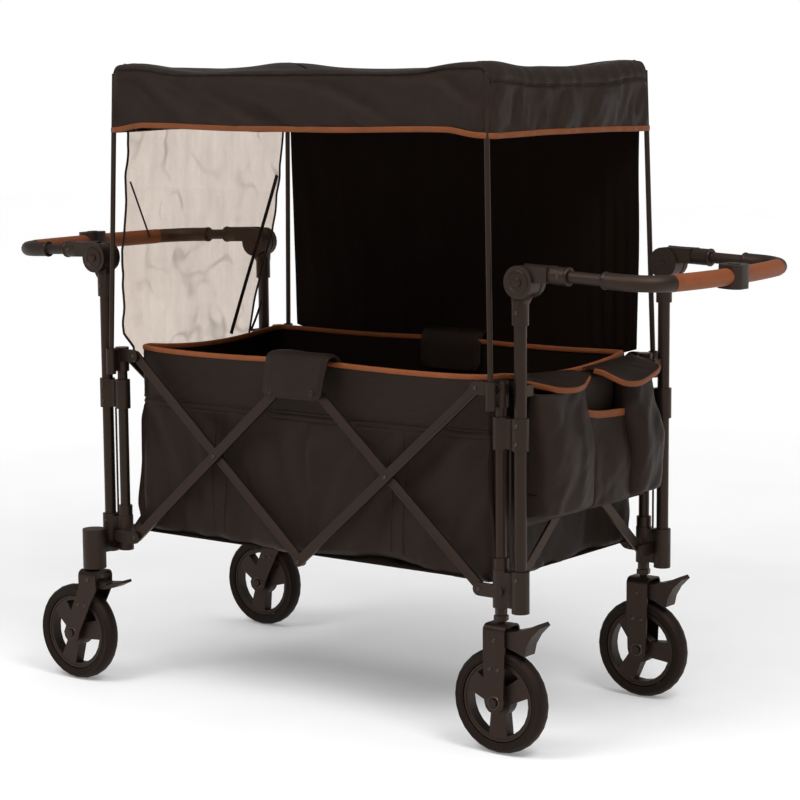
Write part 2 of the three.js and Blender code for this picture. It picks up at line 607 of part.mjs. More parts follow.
// Pocket organizer: a back panel, a strip over the rim, and three open pouches.
const ORGANIZER = { back: [470, 473], low: 392, strip: [650.5, 654], skin: 3 };
const POUCHES = [
  { y: [-196, -24], depth: 62, low: 396, high: 634 },
  { y: [-21, 96], depth: 48, low: 402, high: 575 },
  { y: [99, 203], depth: 62, low: 396, high: 634 },
];
function organizer() {
  const { back, low, strip: top, skin } = ORGANIZER;
  const span = [POUCHES[0].y[0], 194];
  let body = join(
    slab(back, [POUCHES[0].y[0], POUCHES[2].y[1]], [low, 636]),
    slab(back, span, [635, top[1]]),
    slab([TUB.x + 4, back[1]], span, top),
  );
  for (const { y, depth, low: floor, high } of POUCHES) {
    const outer = back[1] + depth;
    body = body
      .add(slab([back[1] - 1, outer], y, [floor, high]))
      .subtract(slab([back[1] + 0.5, outer - skin], [y[0] + skin, y[1] - skin], [floor + skin, high + 1]));
  }
  return body;
}
node("pocket_organizer", organizer(), FABRIC);

export default wagon;
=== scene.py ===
"""Folding children's pull wagon: the looks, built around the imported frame.

Metres, +Z up, +X towards the end with the pockets, -Y the near side, floor at z = 0.
"""

import json
import math
from collections import defaultdict

import bpy
import numpy as np
from mathutils import Matrix, Vector, noise


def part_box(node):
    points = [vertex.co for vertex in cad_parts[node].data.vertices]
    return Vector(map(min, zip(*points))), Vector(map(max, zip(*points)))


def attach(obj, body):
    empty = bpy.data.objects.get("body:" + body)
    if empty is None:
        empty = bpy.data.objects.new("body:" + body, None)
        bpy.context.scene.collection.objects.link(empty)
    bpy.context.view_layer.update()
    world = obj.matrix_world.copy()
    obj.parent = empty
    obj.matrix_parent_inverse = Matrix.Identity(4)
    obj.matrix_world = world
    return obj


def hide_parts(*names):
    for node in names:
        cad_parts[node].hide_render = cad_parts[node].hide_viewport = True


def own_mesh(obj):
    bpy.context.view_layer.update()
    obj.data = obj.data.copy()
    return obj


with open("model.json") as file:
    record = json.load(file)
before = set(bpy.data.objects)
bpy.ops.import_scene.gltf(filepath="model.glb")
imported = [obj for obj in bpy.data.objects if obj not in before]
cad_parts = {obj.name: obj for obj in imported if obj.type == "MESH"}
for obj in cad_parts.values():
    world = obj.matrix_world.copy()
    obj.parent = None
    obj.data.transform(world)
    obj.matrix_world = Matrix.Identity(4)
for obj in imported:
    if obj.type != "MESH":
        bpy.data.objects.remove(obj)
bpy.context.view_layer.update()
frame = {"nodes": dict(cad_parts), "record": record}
NODES = frame["nodes"]

ENDS = {"rear": 1, "front": -1}
SIDES = {"near": -1, "far": 1}

# ---------------------------------------------------------------- places, from the frame
POST_X, POST_Y = 0.450, 0.240  # corner posts
TUBE_X = 0.491  # handle tubes
HINGE = Vector((0.500, 0, 0.840))  # handle hinge
ARM_Z = 0.856  # axis of the handle's tubes when level
DRAWN_OUT = {"rear": 0.009, "front": -0.009}
DROOP = math.radians(2.4)
CASTER_X, CASTER_Y, CASTER_TRAIL = 0.493, 0.286, 0.046
ARM_R, U_R = 0.0155, 0.0145  # the arm's sleeve, and the bent tube of the handle
FORK_FACE = 0.0245  # outer face of a fork's cheek, from the wheel's middle plane
PIN_X, PIN_LOW, PIN_HIGH = 0.410, 0.293, 0.652  # pivots of the scissor bars on the end frames
CROSS_X, CROSS_Z = PIN_X / 2, (PIN_LOW + PIN_HIGH) / 2  # where two bars of a pair cross
WHEEL_R = 0.095
FABRIC_BODY = "rear_posts"  # the tub and the canopy ride on the rear posts
TUB_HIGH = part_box("tub")[1]
CANOPY_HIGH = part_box("canopy")[1]
CURTAIN_LOW, CURTAIN_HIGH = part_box("side_curtain")
NET_LOW, NET_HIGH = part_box("mesh_panel")

# ---------------------------------------------------------------- camera
CAMERA_AT = Vector((2.836, -3.699, 1.218))
CAMERA_AZIMUTH, CAMERA_PITCH, CAMERA_ROLL = math.radians(36.99), math.radians(7.94), math.radians(-0.43)
CAMERA_LENS, SENSOR_WIDTH, CLIP_END = 109.7, 36, 50


def make_camera():
    sin, cos = math.sin, math.cos
    ahead = Vector((-sin(CAMERA_AZIMUTH) * cos(CAMERA_PITCH), cos(CAMERA_AZIMUTH) * cos(CAMERA_PITCH),
                    -sin(CAMERA_PITCH)))
    level = Vector((cos(CAMERA_AZIMUTH), sin(CAMERA_AZIMUTH), 0))
    upright = level.cross(ahead)
    right = cos(CAMERA_ROLL) * level + sin(CAMERA_ROLL) * upright
    up = -sin(CAMERA_ROLL) * level + cos(CAMERA_ROLL) * upright
    data = bpy.data.cameras.new("camera")
    data.lens = CAMERA_LENS
    data.sensor_width = SENSOR_WIDTH
    data.clip_end = CLIP_END
    camera = bpy.data.objects.new("camera", data)
    bpy.context.scene.collection.objects.link(camera)
    camera.matrix_world = Matrix.Translation(CAMERA_AT) @ Matrix((right, up, -ahead)).transposed().to_4x4()
    bpy.context.scene.camera = camera


# ---------------------------------------------------------------- materials
WARM = (1.0, 0.69, 0.55, 1)  # the tint of highlights on every dark material
CLOUD = (0.3, 0.7)  # the part of a noise's range that its soft clouds cover


class Nodes:
    """A small builder for one material's node tree."""

    def __init__(self, name):
        self.material = bpy.data.materials.new(name)
        self.material.use_nodes = True
        self.tree = self.material.node_tree
        self.shader = self.tree.nodes["Principled BSDF"]
        self.output = self.tree.nodes["Material Output"]

    def add(self, kind, inputs=None, **settings):
        node = self.tree.nodes.new(kind)
        for key, value in settings.items():
            setattr(node, key, value)
        for key, value in (inputs or {}).items():
            if isinstance(value, bpy.types.NodeSocket):
                self.tree.links.new(value, node.inputs[key])
            else:
                node.inputs[key].default_value = value
        return node

    def set(self, **values):
        for key, value in values.items():
            socket = self.shader.inputs[key.replace("_", " ")]
            if isinstance(value, bpy.types.NodeSocket):
                self.tree.links.new(value, socket)
            else:
                socket.default_value = value

    def place(self, scale=(1, 1, 1), uv=False):
        at = self.add("ShaderNodeTexCoord").outputs["UV" if uv else "Object"]
        return self.add("ShaderNodeMapping", {"Vector": at, "Scale": scale}).outputs[0]

    def noise(self, scale, detail=3.0, rough=0.5, at=None):
        at = at or self.place()
        return self.add("ShaderNodeTexNoise", {"Vector": at, "Scale": scale, "Detail": detail,
                                               "Roughness": rough}).outputs[0]

    def ramp(self, value, low, high, to_low=0.0, to_high=1.0):
        return self.add("ShaderNodeMapRange", {0: value, 1: low, 2: high, 3: to_low, 4: to_high}).outputs[0]

    def math(self, operation, a, b=0.0):
        return self.add("ShaderNodeMath", {0: a, 1: b}, operation=operation).outputs[0]

    def mix(self, share, a, b):
        node = self.add("ShaderNodeMix", data_type="RGBA")
        for index, value in ((0, share), (6, a), (7, b)):
            if isinstance(value, bpy.types.NodeSocket):
                self.tree.links.new(value, node.inputs[index])
            else:
                node.inputs[index].default_value = value
        return node.outputs[2]

    def cloudy(self, scale, colour, spread, rough, detail=4):
        """A colour that varies in soft clouds, and a roughness that goes with it."""
        cloud = self.noise(scale, detail, 0.6)
        base = self.mix(self.ramp(cloud, *CLOUD), shade(colour, spread[0]), shade(colour, spread[1]))
        return base, self.ramp(cloud, *CLOUD, *rough)

    def bump(self, height, distance, strength=1.0, normal=None):
        inputs = {"Height": height, "Distance": distance, "Strength": strength}
        if normal is not None:
            inputs["Normal"] = normal
        return self.add("ShaderNodeBump", inputs).outputs[0]


def shade(colour, factor):
    return (colour[0] * factor, colour[1] * factor, colour[2] * factor, 1)


def weave(nodes, pitch):
    """Plain weave: threads along all three axes, so that it shows on any panel."""
    xyz = nodes.add("ShaderNodeSeparateXYZ", {0: nodes.place()})
    turn = 2 * math.pi / pitch
    waves = [nodes.math("SINE", nodes.math("MULTIPLY", xyz.outputs[k], turn)) for k in range(3)]
    first, second, third = (nodes.math("MULTIPLY", waves[a], waves[b]) for a, b in ((0, 2), (1, 2), (0, 1)))
    return nodes.math("ADD", nodes.math("ADD", first, second), third)


def woven(name, colour, pitch=0.0011, rough=(0.5, 0.66), sheen=0.02, depth=0.00022, gloss=0.26):
    nodes = Nodes(name)
    threads = weave(nodes, pitch)
    slubs = nodes.noise(900, 2)
    base, roughness = nodes.cloudy(9, colour, (0.82, 1.22), rough)
    fleck = nodes.mix(nodes.ramp(threads, -1.0, 1.4, 0.0, 0.35), base, shade(colour, 1.9))
    fine = nodes.bump(nodes.math("ADD", threads, nodes.math("MULTIPLY", slubs, 0.8)), depth, 0.5)
    rumpled = nodes.bump(nodes.noise(55, 4, 0.55), 0.0016, 0.35, fine)
    nodes.set(Base_Color=fleck, Roughness=roughness, Sheen_Weight=sheen, Sheen_Roughness=0.45,
              Sheen_Tint=WARM, Specular_IOR_Level=gloss, Specular_Tint=WARM, Normal=rumpled)
    return nodes.material


def coated_metal(name, colour, edge_wear_and_highlight=0.35, rough=(0.34, 0.5), metallic=0.35):
    """Powder coat: fine orange peel, a little brighter along the edges: partly wear, partly a painted
    highlight.
    """
    nodes = Nodes(name)
    peel = nodes.noise(1400, 2)
    bevel = nodes.add("ShaderNodeBevel", {"Radius": 0.0018}, samples=4).outputs[0]
    normal = nodes.add("ShaderNodeNewGeometry").outputs["Normal"]
    flat = nodes.add("ShaderNodeVectorMath", {0: bevel, 1: normal}, operation="DOT_PRODUCT").outputs["Value"]
    # edge mask: lightens the edges in patches, partly as wear and partly as a painted highlight where edges
    # catch the light
    edge = nodes.math("MULTIPLY", nodes.ramp(flat, 0.995, 0.9), nodes.ramp(nodes.noise(70, 3), 0.35, 0.65))
    base, roughness = nodes.cloudy(14, colour, (0.88, 1.14), rough)
    worn_and_highlit = nodes.mix(nodes.math("MULTIPLY", edge, edge_wear_and_highlight), base, shade(colour, 3.2))
    nodes.set(Base_Color=worn_and_highlit, Metallic=metallic, Roughness=roughness,
              Specular_IOR_Level=0.4, Specular_Tint=WARM, Normal=nodes.bump(peel, 0.00012, 0.5))
    return nodes.material


def moulded(name, colour, rough=(0.42, 0.6)):
    """Moulded plastic with a fine spark-eroded grain."""
    nodes = Nodes(name)
    cells = nodes.add("ShaderNodeTexVoronoi", {"Vector": nodes.place(), "Scale": 2200}).outputs[0]
    scuffs = nodes.ramp(nodes.noise(160, 5, 0.7, nodes.place((1, 1, 0.25))), 0.6, 0.75)
    base, roughness = nodes.cloudy(22, colour, (0.85, 1.18), rough)
    scuffed = nodes.mix(nodes.math("MULTIPLY", scuffs, 0.18), base, shade(colour, 2.4))
    nodes.set(Base_Color=scuffed, Roughness=roughness, Specular_IOR_Level=0.4, Specular_Tint=WARM,
              Normal=nodes.bump(cells, 0.00012, 0.5))
    return nodes.material


def rubber(name, colour):
    nodes = Nodes(name)
    dust = nodes.ramp(nodes.noise(30, 6, 0.7), 0.45, 0.75)
    base = nodes.mix(nodes.math("MULTIPLY", dust, 0.3), shade(colour, 1), shade(colour, 2.4))
    grain = nodes.bump(nodes.noise(700, 4), 0.0002, 0.5)
    nodes.set(Base_Color=base, Roughness=nodes.ramp(dust, 0, 1, 0.55, 0.75), Specular_IOR_Level=0.18,
              Specular_Tint=WARM, Normal=grain)
    return nodes.material


STITCH_PITCH, STITCH_LINE = 0.0042, 0.0118  # along the binding, and how far the row lies from its edge


def leather(name, colour, grain=620, stitched=False):
    """Grained synthetic leather. Where it is sewn binding, a row of stitches runs along one edge."""
    nodes = Nodes(name)
    cells = nodes.add("ShaderNodeTexVoronoi", {"Vector": nodes.place(), "Scale": grain}).outputs[0]
    height = nodes.math("ADD", nodes.math("MULTIPLY", cells, 0.9), nodes.noise(grain * 2.2, 3))
    base, roughness = nodes.cloudy(26, colour, (0.86, 1.12), (0.46, 0.62), detail=5)
    creased = nodes.mix(nodes.ramp(cells, 0.55, 0.95, 0.0, 0.35), base, shade(colour, 0.62))
    normal = nodes.bump(height, 0.00022, 0.55)
    if stitched:
        uv = nodes.add("ShaderNodeSeparateXYZ", {0: nodes.place(uv=True)})
        along = nodes.math("FRACT", nodes.math("DIVIDE", uv.outputs[0], STITCH_PITCH))
        dash = nodes.math("MULTIPLY", nodes.ramp(along, 0.08, 0.2), nodes.ramp(along, 0.85, 0.7))
        off = nodes.math("ABSOLUTE", nodes.math("SUBTRACT", uv.outputs[1], STITCH_LINE))
        line = nodes.ramp(off, 0.0007, 0.0003)
        thread = nodes.math("MULTIPLY", dash, line)
        creased = nodes.mix(nodes.math("MULTIPLY", thread, 0.7), creased, shade(colour, 1.7))
        normal = nodes.bump(thread, 0.0005, 0.8, normal)
    nodes.set(Base_Color=creased, Roughness=roughness, Specular_IOR_Level=0.25, Specular_Tint=WARM,
              Normal=normal)
    return nodes.material


def net(name, colour, tint, opacity):
    """Sheer mosquito net: fine dark thread, with painted shade along soft creases, where it is made denser.
    """
    nodes = Nodes(name)
    cells = nodes.add("ShaderNodeTexVoronoi", {"Vector": nodes.place(), "Scale": 760},
                      feature="DISTANCE_TO_EDGE").outputs[0]
    thread = nodes.ramp(cells, 0.02, 0.12, 1.0, 0.0)
    ridge = nodes.math("ABSOLUTE", nodes.math("SUBTRACT", nodes.noise(9, 1.5, 0.5), 0.5))
    patches = nodes.ramp(nodes.noise(8, 2, 0.5, nodes.place((1, 0.7, 1.3))), 0.46, 0.66)
    # painted shade: along soft noise creases the net is made denser, and so darker
    crease = nodes.math("MULTIPLY", nodes.ramp(ridge, 0.0, 0.040, 0.20, 0.0), patches)
    cloudy = nodes.ramp(nodes.noise(30, 5, 0.6, nodes.place((1, 1, 0.3))), 0.35, 0.65, -0.03, 0.03)
    cover = nodes.math("ADD", nodes.math("MULTIPLY", thread, 0.12), opacity)
    cover = nodes.math("ADD", cover, nodes.math("ADD", crease, cloudy))
    nodes.set(Base_Color=shade(colour, 1), Roughness=0.9, Specular_IOR_Level=0.1)
    holes = nodes.add("ShaderNodeBsdfTransparent", {"Color": (*tint, 1)}).outputs[0]
    both = nodes.add("ShaderNodeMixShader", {0: cover, 1: holes, 2: nodes.shader.outputs[0]}).outputs[0]
    nodes.tree.links.new(both, nodes.output.inputs["Surface"])
    return nodes.material


# the frame and the steel get lighter edges, partly wear and partly a painted highlight
FRAME_METAL = coated_metal("charcoal_powder_coat", (0.0125, 0.0084, 0.0064), edge_wear_and_highlight=0.6, rough=(0.3, 0.42))
PLASTIC = moulded("grained_black_plastic", (0.0062, 0.0040, 0.0030))
HUB_PLASTIC = moulded("hub_plastic", (0.0050, 0.0032, 0.0024), rough=(0.42, 0.56))
RUBBER = rubber("tyre_rubber", (0.0075, 0.0052, 0.0040))
STEEL = coated_metal("blackened_steel", (0.050, 0.040, 0.034), edge_wear_and_highlight=0.6, rough=(0.28, 0.42), metallic=0.85)
FABRIC = woven("black_polyester", (0.0038, 0.0022, 0.0015), rough=(0.38, 0.52), gloss=0.25)
LINING = woven("black_lining", (0.0040, 0.0024, 0.0018), rough=(0.75, 0.9), sheen=0.0, gloss=0.12)
CURTAIN_CLOTH = woven("black_curtain", (0.0040, 0.0022, 0.0016), rough=(0.75, 0.9), sheen=0.0, gloss=0.1)
WEBBING = woven("black_webbing", (0.010, 0.0070, 0.0055), pitch=0.0022, depth=0.0005)
# painted shade: the binding is the tan leather made darker than the piping, because it faces down and out
# into shade
SHADED_BINDING = leather("tan_binding_painted_shade", (0.140, 0.041, 0.013), stitched=True)
PIPING = leather("tan_piping", (0.180, 0.052, 0.017))
LEATHER = leather("tan_grip_leather", (0.180, 0.050, 0.017), grain=480)
NET = net("sheer_net", (0.16, 0.075, 0.035), (0.911, 0.853, 0.806), 0.10)

LOOKS = {
    "frame_metal": FRAME_METAL,
    "black_plastic": PLASTIC,
    "hub_plastic": HUB_PLASTIC,
    "tyre_rubber": RUBBER,
    "wagon_fabric": FABRIC,
    "sheer_mesh": NET,
    "tan_leather": LEATHER,
}


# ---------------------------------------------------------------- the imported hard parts
SHARP_ANGLE = math.radians(46)
EDGE_BEVEL = 0.0007
MERGE_DISTANCE = 1e-5


def rounding_group():
    """Joins the split corners, then shades smooth over all but the sharp edges."""
    group = bpy.data.node_groups.new("smooth_faces", "GeometryNodeTree")
    for side in ("INPUT", "OUTPUT"):
        group.interface.new_socket("Geometry", in_out=side, socket_type="NodeSocketGeometry")
    nodes, links = group.nodes, group.links
    start, end = nodes.new("NodeGroupInput"), nodes.new("NodeGroupOutput")
    bare = nodes.new("GeometryNodeRemoveAttribute")
    bare.inputs["Name"].default_value = "custom_normal"
    merge = nodes.new("GeometryNodeMergeByDistance")
    merge.inputs["Distance"].default_value = MERGE_DISTANCE
    faces = nodes.new("GeometryNodeSetShadeSmooth")
    edges = nodes.new("GeometryNodeSetShadeSmooth")
    edges.domain = "EDGE"
    angle = nodes.new("GeometryNodeInputMeshEdgeAngle")
    dull = nodes.new("FunctionNodeCompare")
    dull.operation = "LESS_THAN"
    dull.inputs[1].default_value = SHARP_ANGLE
    chain = (start, bare, merge, faces, edges, end)
    for source, target in zip(chain, chain[1:]):
        links.new(source.outputs[0], target.inputs[0])
    links.new(angle.outputs[0], dull.inputs[0])
    links.new(dull.outputs[0], edges.inputs["Shade Smooth"])
    return group


def finish_cad_nodes():
    group = rounding_group()
    slots = {row["node"]: row["material_slot"] for row in frame["record"]["subparts"]}
    for name, obj in NODES.items():
        obj.data.materials.clear()
        obj.data.materials.append(LOOKS[slots[name]])
        obj.modifiers.new("smooth", "NODES").node_group = group
        bevel = obj.modifiers.new("bevel", "BEVEL")
        bevel.width = EDGE_BEVEL
        bevel.segments = 2
        bevel.limit_method = "ANGLE"
        bevel.angle_limit = SHARP_ANGLE
        bevel.harden_normals = True


# ---------------------------------------------------------------- mesh helpers
def piece(name, points, faces, material, uv=None):
    mesh = bpy.data.meshes.new(name)
    mesh.from_pydata([tuple(p) for p in points], [], faces)
    mesh.materials.append(material)
    if uv is not None:
        corners = np.zeros(len(mesh.loops), int)
        mesh.loops.foreach_get("vertex_index", corners)
        mesh.uv_layers.new(name="UVMap").data.foreach_set("uv", np.asarray(uv, float)[corners].ravel())
    mesh.polygons.foreach_set("use_smooth", [True] * len(mesh.polygons))
    mesh.update()
    obj = bpy.data.objects.new(name, mesh)
    bpy.context.scene.collection.objects.link(obj)
    return obj


def grid_faces(rows, columns, wrap=False, flip=False):
    faces = []
    for i in range(rows - 1):
        for j in range(columns if wrap else columns - 1):
            a, b = i * columns + j, i * columns + (j + 1) % columns
            quad = (a, b, b + columns, a + columns)
            faces.append(quad[::-1] if flip else quad)
    return faces


def cloth(name, grid, material, thickness, wrap=False, flip=False, offset=-1, cap=False, lining=False):
    """A sheet of cloth through a grid of points, with a thickness and perhaps a lining on its inner face."""
    rows, columns = grid.shape[:2]
    faces = grid_faces(rows, columns, wrap, flip)
    points = grid.reshape(-1, 3)
    if cap:
        points = np.vstack([points, points[-columns:].mean(0)])
        last = (rows - 1) * columns
        fan = [(last + j, last + (j + 1) % columns, rows * columns) for j in range(columns)]
        faces += [f[::-1] if flip else f for f in fan]
    obj = piece(name, points, faces, material)
    solid = obj.modifiers.new("thickness", "SOLIDIFY")
    solid.thickness = thickness
    solid.offset = offset
    solid.use_rim = True
    if lining:
        obj.data.materials.append(LINING)
        solid.material_offset = 1
    return obj


def run_length(path):
    """Distance along a path to each of its points."""
    return np.concatenate([[0], np.cumsum(np.linalg.norm(np.diff(path, axis=0), axis=1))])


def sweep(name, centres, outs, ups, half_out, half_up, material, closed=False, corners=12, square=3.2):
    """A rounded strip or cord swept along a path. outs and ups are its section's axes, one or one a point."""
    centres = np.asarray(centres, float)
    outs, ups = (np.broadcast_to(np.asarray(axis, float), centres.shape) for axis in (outs, ups))
    angles = 2 * math.pi * np.arange(corners) / corners
    cosine, sine = np.cos(angles), np.sin(angles)
    across = half_out * np.sign(cosine) * np.abs(cosine) ** (2 / square)
    rise = half_up * np.sign(sine) * np.abs(sine) ** (2 / square)
    rings = centres[:, None] + outs[:, None] * across[None, :, None] + ups[:, None] * rise[None, :, None]
    count = len(centres)
    along = run_length(centres)
    uv = np.stack(np.broadcast_arrays(along[:, None], rise[None] + half_up), -1).reshape(-1, 2)
    points = rings.reshape(-1, 3)
    faces = grid_faces(count, corners, wrap=True)
    if closed:
        faces += [(a + (count - 1) * corners, (a + 1) % corners + (count - 1) * corners, (a + 1) % corners, a)
                  for a in range(corners)]
    else:
        faces += [tuple(range(corners))[::-1], tuple((count - 1) * corners + k for k in range(corners))]
    obj = piece(name, points, faces, material, uv)
    fix_outward(obj)
    return obj


def fix_outward(obj):
    """Turns the faces of a closed mesh out."""
    points = np.array([v.co for v in obj.data.vertices])
    volume = 0.0
    for face in obj.data.polygons:
        corner = points[list(face.vertices)]
        for k in range(1, len(corner) - 1):
            volume += np.dot(corner[0], np.cross(corner[k], corner[k + 1]))
    if volume < 0:
        obj.data.flip_normals()


def unit(vectors):
    vectors = np.asarray(vectors, float)
    return vectors / np.maximum(np.linalg.norm(vectors, axis=-1, keepdims=True), 1e-12)


def ring(half_x, half_y, radius, count):
    """Points and outward normals round a rounded rectangle, from the near side's middle to +X."""
    straight_x, straight_y, arc = half_x - radius, half_y - radius, radius * math.pi / 2
    legs = [straight_x, arc, 2 * straight_y, arc, 2 * straight_x, arc, 2 * straight_y, arc, straight_x]
    total = sum(legs)
    starts = np.concatenate([[0], np.cumsum(legs)])
    out = []
    for k in range(count):
        s = total * k / count
        leg = int(np.searchsorted(starts, s, side="right") - 1)
        t = s - starts[leg]
        if leg == 0:
            at, normal = (t, -half_y), (0, -1)
        elif leg == 2:
            at, normal = (half_x, -straight_y + t), (1, 0)
        elif leg == 4:
            at, normal = (straight_x - t, half_y), (0, 1)
        elif leg == 6:
            at, normal = (-half_x, straight_y - t), (-1, 0)
        elif leg == 8:
            at, normal = (-straight_x + t, -half_y), (0, -1)
        else:
            quarter = (leg - 1) // 2
            centre = [(1, -1), (1, 1), (-1, 1), (-1, -1)][quarter]
            angle = -math.pi / 2 + quarter * math.pi / 2 + (t / arc) * math.pi / 2
            normal = (math.cos(angle), math.sin(angle))
            at = (centre[0] * straight_x + radius * normal[0], centre[1] * straight_y + radius * normal[1])
        out.append((*at, *normal))
    out = np.array(out)
    return out[:, :2], out[:, 2:]


def fold(u, v, angle, spacing, seed, stretch=4.5):
    """Height of soft folds that run along angle in the sheet's (u, v) plane, about -1 to 1."""
    cosine, sine = math.cos(angle), math.sin(angle)
    along, across = u * cosine + v * sine, -u * sine + v * cosine
    bend = 0.6 * noise.noise(Vector((along / spacing / 3, across / spacing / 3, seed + 3.7)))
    one = noise.noise(Vector((across / spacing + bend, along / spacing / stretch, seed)))
    two = noise.noise(Vector((2.1 * across / spacing + bend, 1.6 * along / spacing / stretch, seed + 9.1)))
    return 1.5 * one + 0.6 * two


def smooth(x, low, high):
    t = min(1.0, max(0.0, (x - low) / (high - low)))
    return t * t * (3 - 2 * t)


def bell(x, centre, width):
    return math.exp(-(((x - centre) / width) ** 2))


def resample(path, count):
    """Evenly spaced points along a smooth curve through the path's points."""
    path = np.asarray(path, float)
    knots = run_length(path)
    fine = np.linspace(0, knots[-1], 12 * len(path))
    spline = []
    for s in fine:
        k = min(int(np.searchsorted(knots, s, side="right")) - 1, len(path) - 2)
        t = (s - knots[k]) / (knots[k + 1] - knots[k])
        p0, p1, p2, p3 = path[max(k - 1, 0)], path[k], path[k + 1], path[min(k + 2, len(path) - 1)]
        spline.append(0.5 * (2 * p1 + (p2 - p0) * t + (2 * p0 - 5 * p1 + 4 * p2 - p3) * t**2
                             + (3 * p1 - p0 - 3 * p2 + p3) * t**3))
    spline = np.array(spline)
    knots = run_length(spline)
    even = np.linspace(0, knots[-1], count)
    return np.stack([np.interp(even, knots, spline[:, k]) for k in range(path.shape[1])], -1)


def lathe(name, profile, at, axis, material, sides=24):
    """A turned piece: profile is (radius, height) pairs, and its first and last rings are closed flat."""
    axis = Vector(axis).normalized()
    side = axis.orthogonal().normalized()
    other = axis.cross(side)
    points = []
    for radius, height in profile:
        for k in range(sides):
            angle = 2 * math.pi * k / sides
            points.append(Vector(at) + axis * height + side * radius * math.cos(angle)
                          + other * radius * math.sin(angle))
    faces = grid_faces(len(profile), sides, wrap=True)
    faces.append(tuple(range(sides))[::-1])
    faces.append(tuple((len(profile) - 1) * sides + k for k in range(sides)))
    obj = piece(name, points, faces, material)
    fix_outward(obj)
    sharpen(obj)
    return obj


def sharpen(obj):
    obj.data.set_sharp_from_angle(angle=math.radians(40))


def merged(name, objects):
    """Joins finished meshes, which all have the same place and no modifiers, into one piece."""
    points, faces, slots, materials = [], [], [], []
    for obj in objects:
        start = len(points)
        points += [v.co.copy() for v in obj.data.vertices]
        index = []
        for material in obj.data.materials:
            if material not in materials:
                materials.append(material)
            index.append(materials.index(material))
        for face in obj.data.polygons:
            faces.append([start + v for v in face.vertices])
            slots.append(index[face.material_index])
        bpy.data.objects.remove(obj)
    mesh = bpy.data.meshes.new(name)
    mesh.from_pydata(points, [], faces)
    for material in materials:
        mesh.materials.append(material)
    mesh.polygons.foreach_set("material_index", slots)
    mesh.polygons.foreach_set("use_smooth", [True] * len(faces))
    mesh.update()
    obj = bpy.data.objects.new(name, mesh)
    bpy.context.scene.collection.objects.link(obj)
    sharpen(obj)
    return obj


ALONG, UP = (1, 0, 0), (0, 0, 1)


def soft(obj):
    """A piece on the tub or the canopy: it rises with the rear posts."""
    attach(obj, FABRIC_BODY)
    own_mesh(obj)
    return obj


# ---------------------------------------------------------------- tub
TUB_X, TUB_Y = TUB_HIGH.x, TUB_HIGH.y
TUB_CORNER = 0.022
TUB_COLUMNS = 330
RIM_Z, SEAM_Z, BOTTOM_Z = 0.6665, 0.566, 0.297
TURN_IN = 0.016  # radius of the edge between the walls and the bottom
PUSH_LIMIT, PUSH_EASE = 0.0052, 0.0022  # how far the cloth may stand out, and how softly it stops there
WALL_CLOTH = 0.0022  # thickness


def along_side(ny):
    """Whether a wall with this normal is a long side and not an end."""
    return abs(ny) > 0.7


def rim_height(x, y):
    """The rim droops between the posts, more at the ends than along the sides."""
    ends = smooth(abs(x), TUB_X - 0.03, TUB_X - 0.004)
    sag_end = 0.013 * max(0.0, 1 - (y / 0.19) ** 2)
    sag_side = 0.0035 * max(0.0, 1 - (abs(abs(x) - 0.24) / 0.18) ** 2)
    return RIM_Z - ends * sag_end - (1 - ends) * sag_side


def bottom_height(x, y):
    lumps = 0.009 * noise.noise(Vector((x * 5.2, y * 7.0, 2.3)))
    lift = 0.016 * bell(x, 0.19, 0.09) * smooth(-y, 0.1, 0.22)
    return BOTTOM_Z + lumps + lift


def tuck(x, y, ny, z):
    """How far the walls draw in beside the corner posts, above the flared bottom corners."""
    beside = TUB_X - abs(x) if along_side(ny) else TUB_Y - abs(y)
    return 0.012 * math.exp(-((beside / 0.045) ** 2)) * smooth(z, 0.33, 0.45)


def tub_push(x, y, nx, ny, z):
    """How far the cloth stands out from the flat wall, along the wall's normal."""
    below = smooth(SEAM_Z - z, 0.0, 0.05)
    low = smooth(z, 0.30, 0.42)
    u = x if along_side(ny) else y
    belly = 0.0035 * math.sin(math.pi * smooth(z, 0.29, SEAM_Z)) * below
    seed = 4.0 * ny + 9.0 * nx
    lean = 1.15 if u > 0 else 2.0
    deep = 0.0150 * fold(u, z, lean, 0.085, seed) * below * (0.35 + 0.65 * smooth(z, 0.3, 0.36))
    upright = 0.0046 * fold(u, z, math.pi / 2, 0.050, seed + 5) * below * (1 - 0.5 * low)
    taut = 0.0022 * fold(u, z, 0.35, 0.11, seed + 2) * (1 - below)
    pucker = 0.0013 * noise.noise(Vector((u * 95, 0.3, seed))) * math.exp(-abs(z - SEAM_Z) / 0.014)
    seam = -0.0020 * bell(z, SEAM_Z, 0.0024) - 0.0016 * bell(z, SEAM_Z - 0.0105, 0.0022)
    push = belly + deep + upright + taut + pucker - 0.0050
    limited = PUSH_LIMIT - math.log1p(math.exp((PUSH_LIMIT - push) / PUSH_EASE)) * PUSH_EASE
    return limited + seam - tuck(x, y, ny, z)


def tub_levels(top, low):
    """Heights of the tub's rows: close together across the seam."""
    seam = (SEAM_Z + 0.006, SEAM_Z - 0.018)
    return [*np.linspace(top, seam[0], 13)[:-1], *np.linspace(*seam, 20)[:-1], *np.linspace(seam[1], low, 34)]


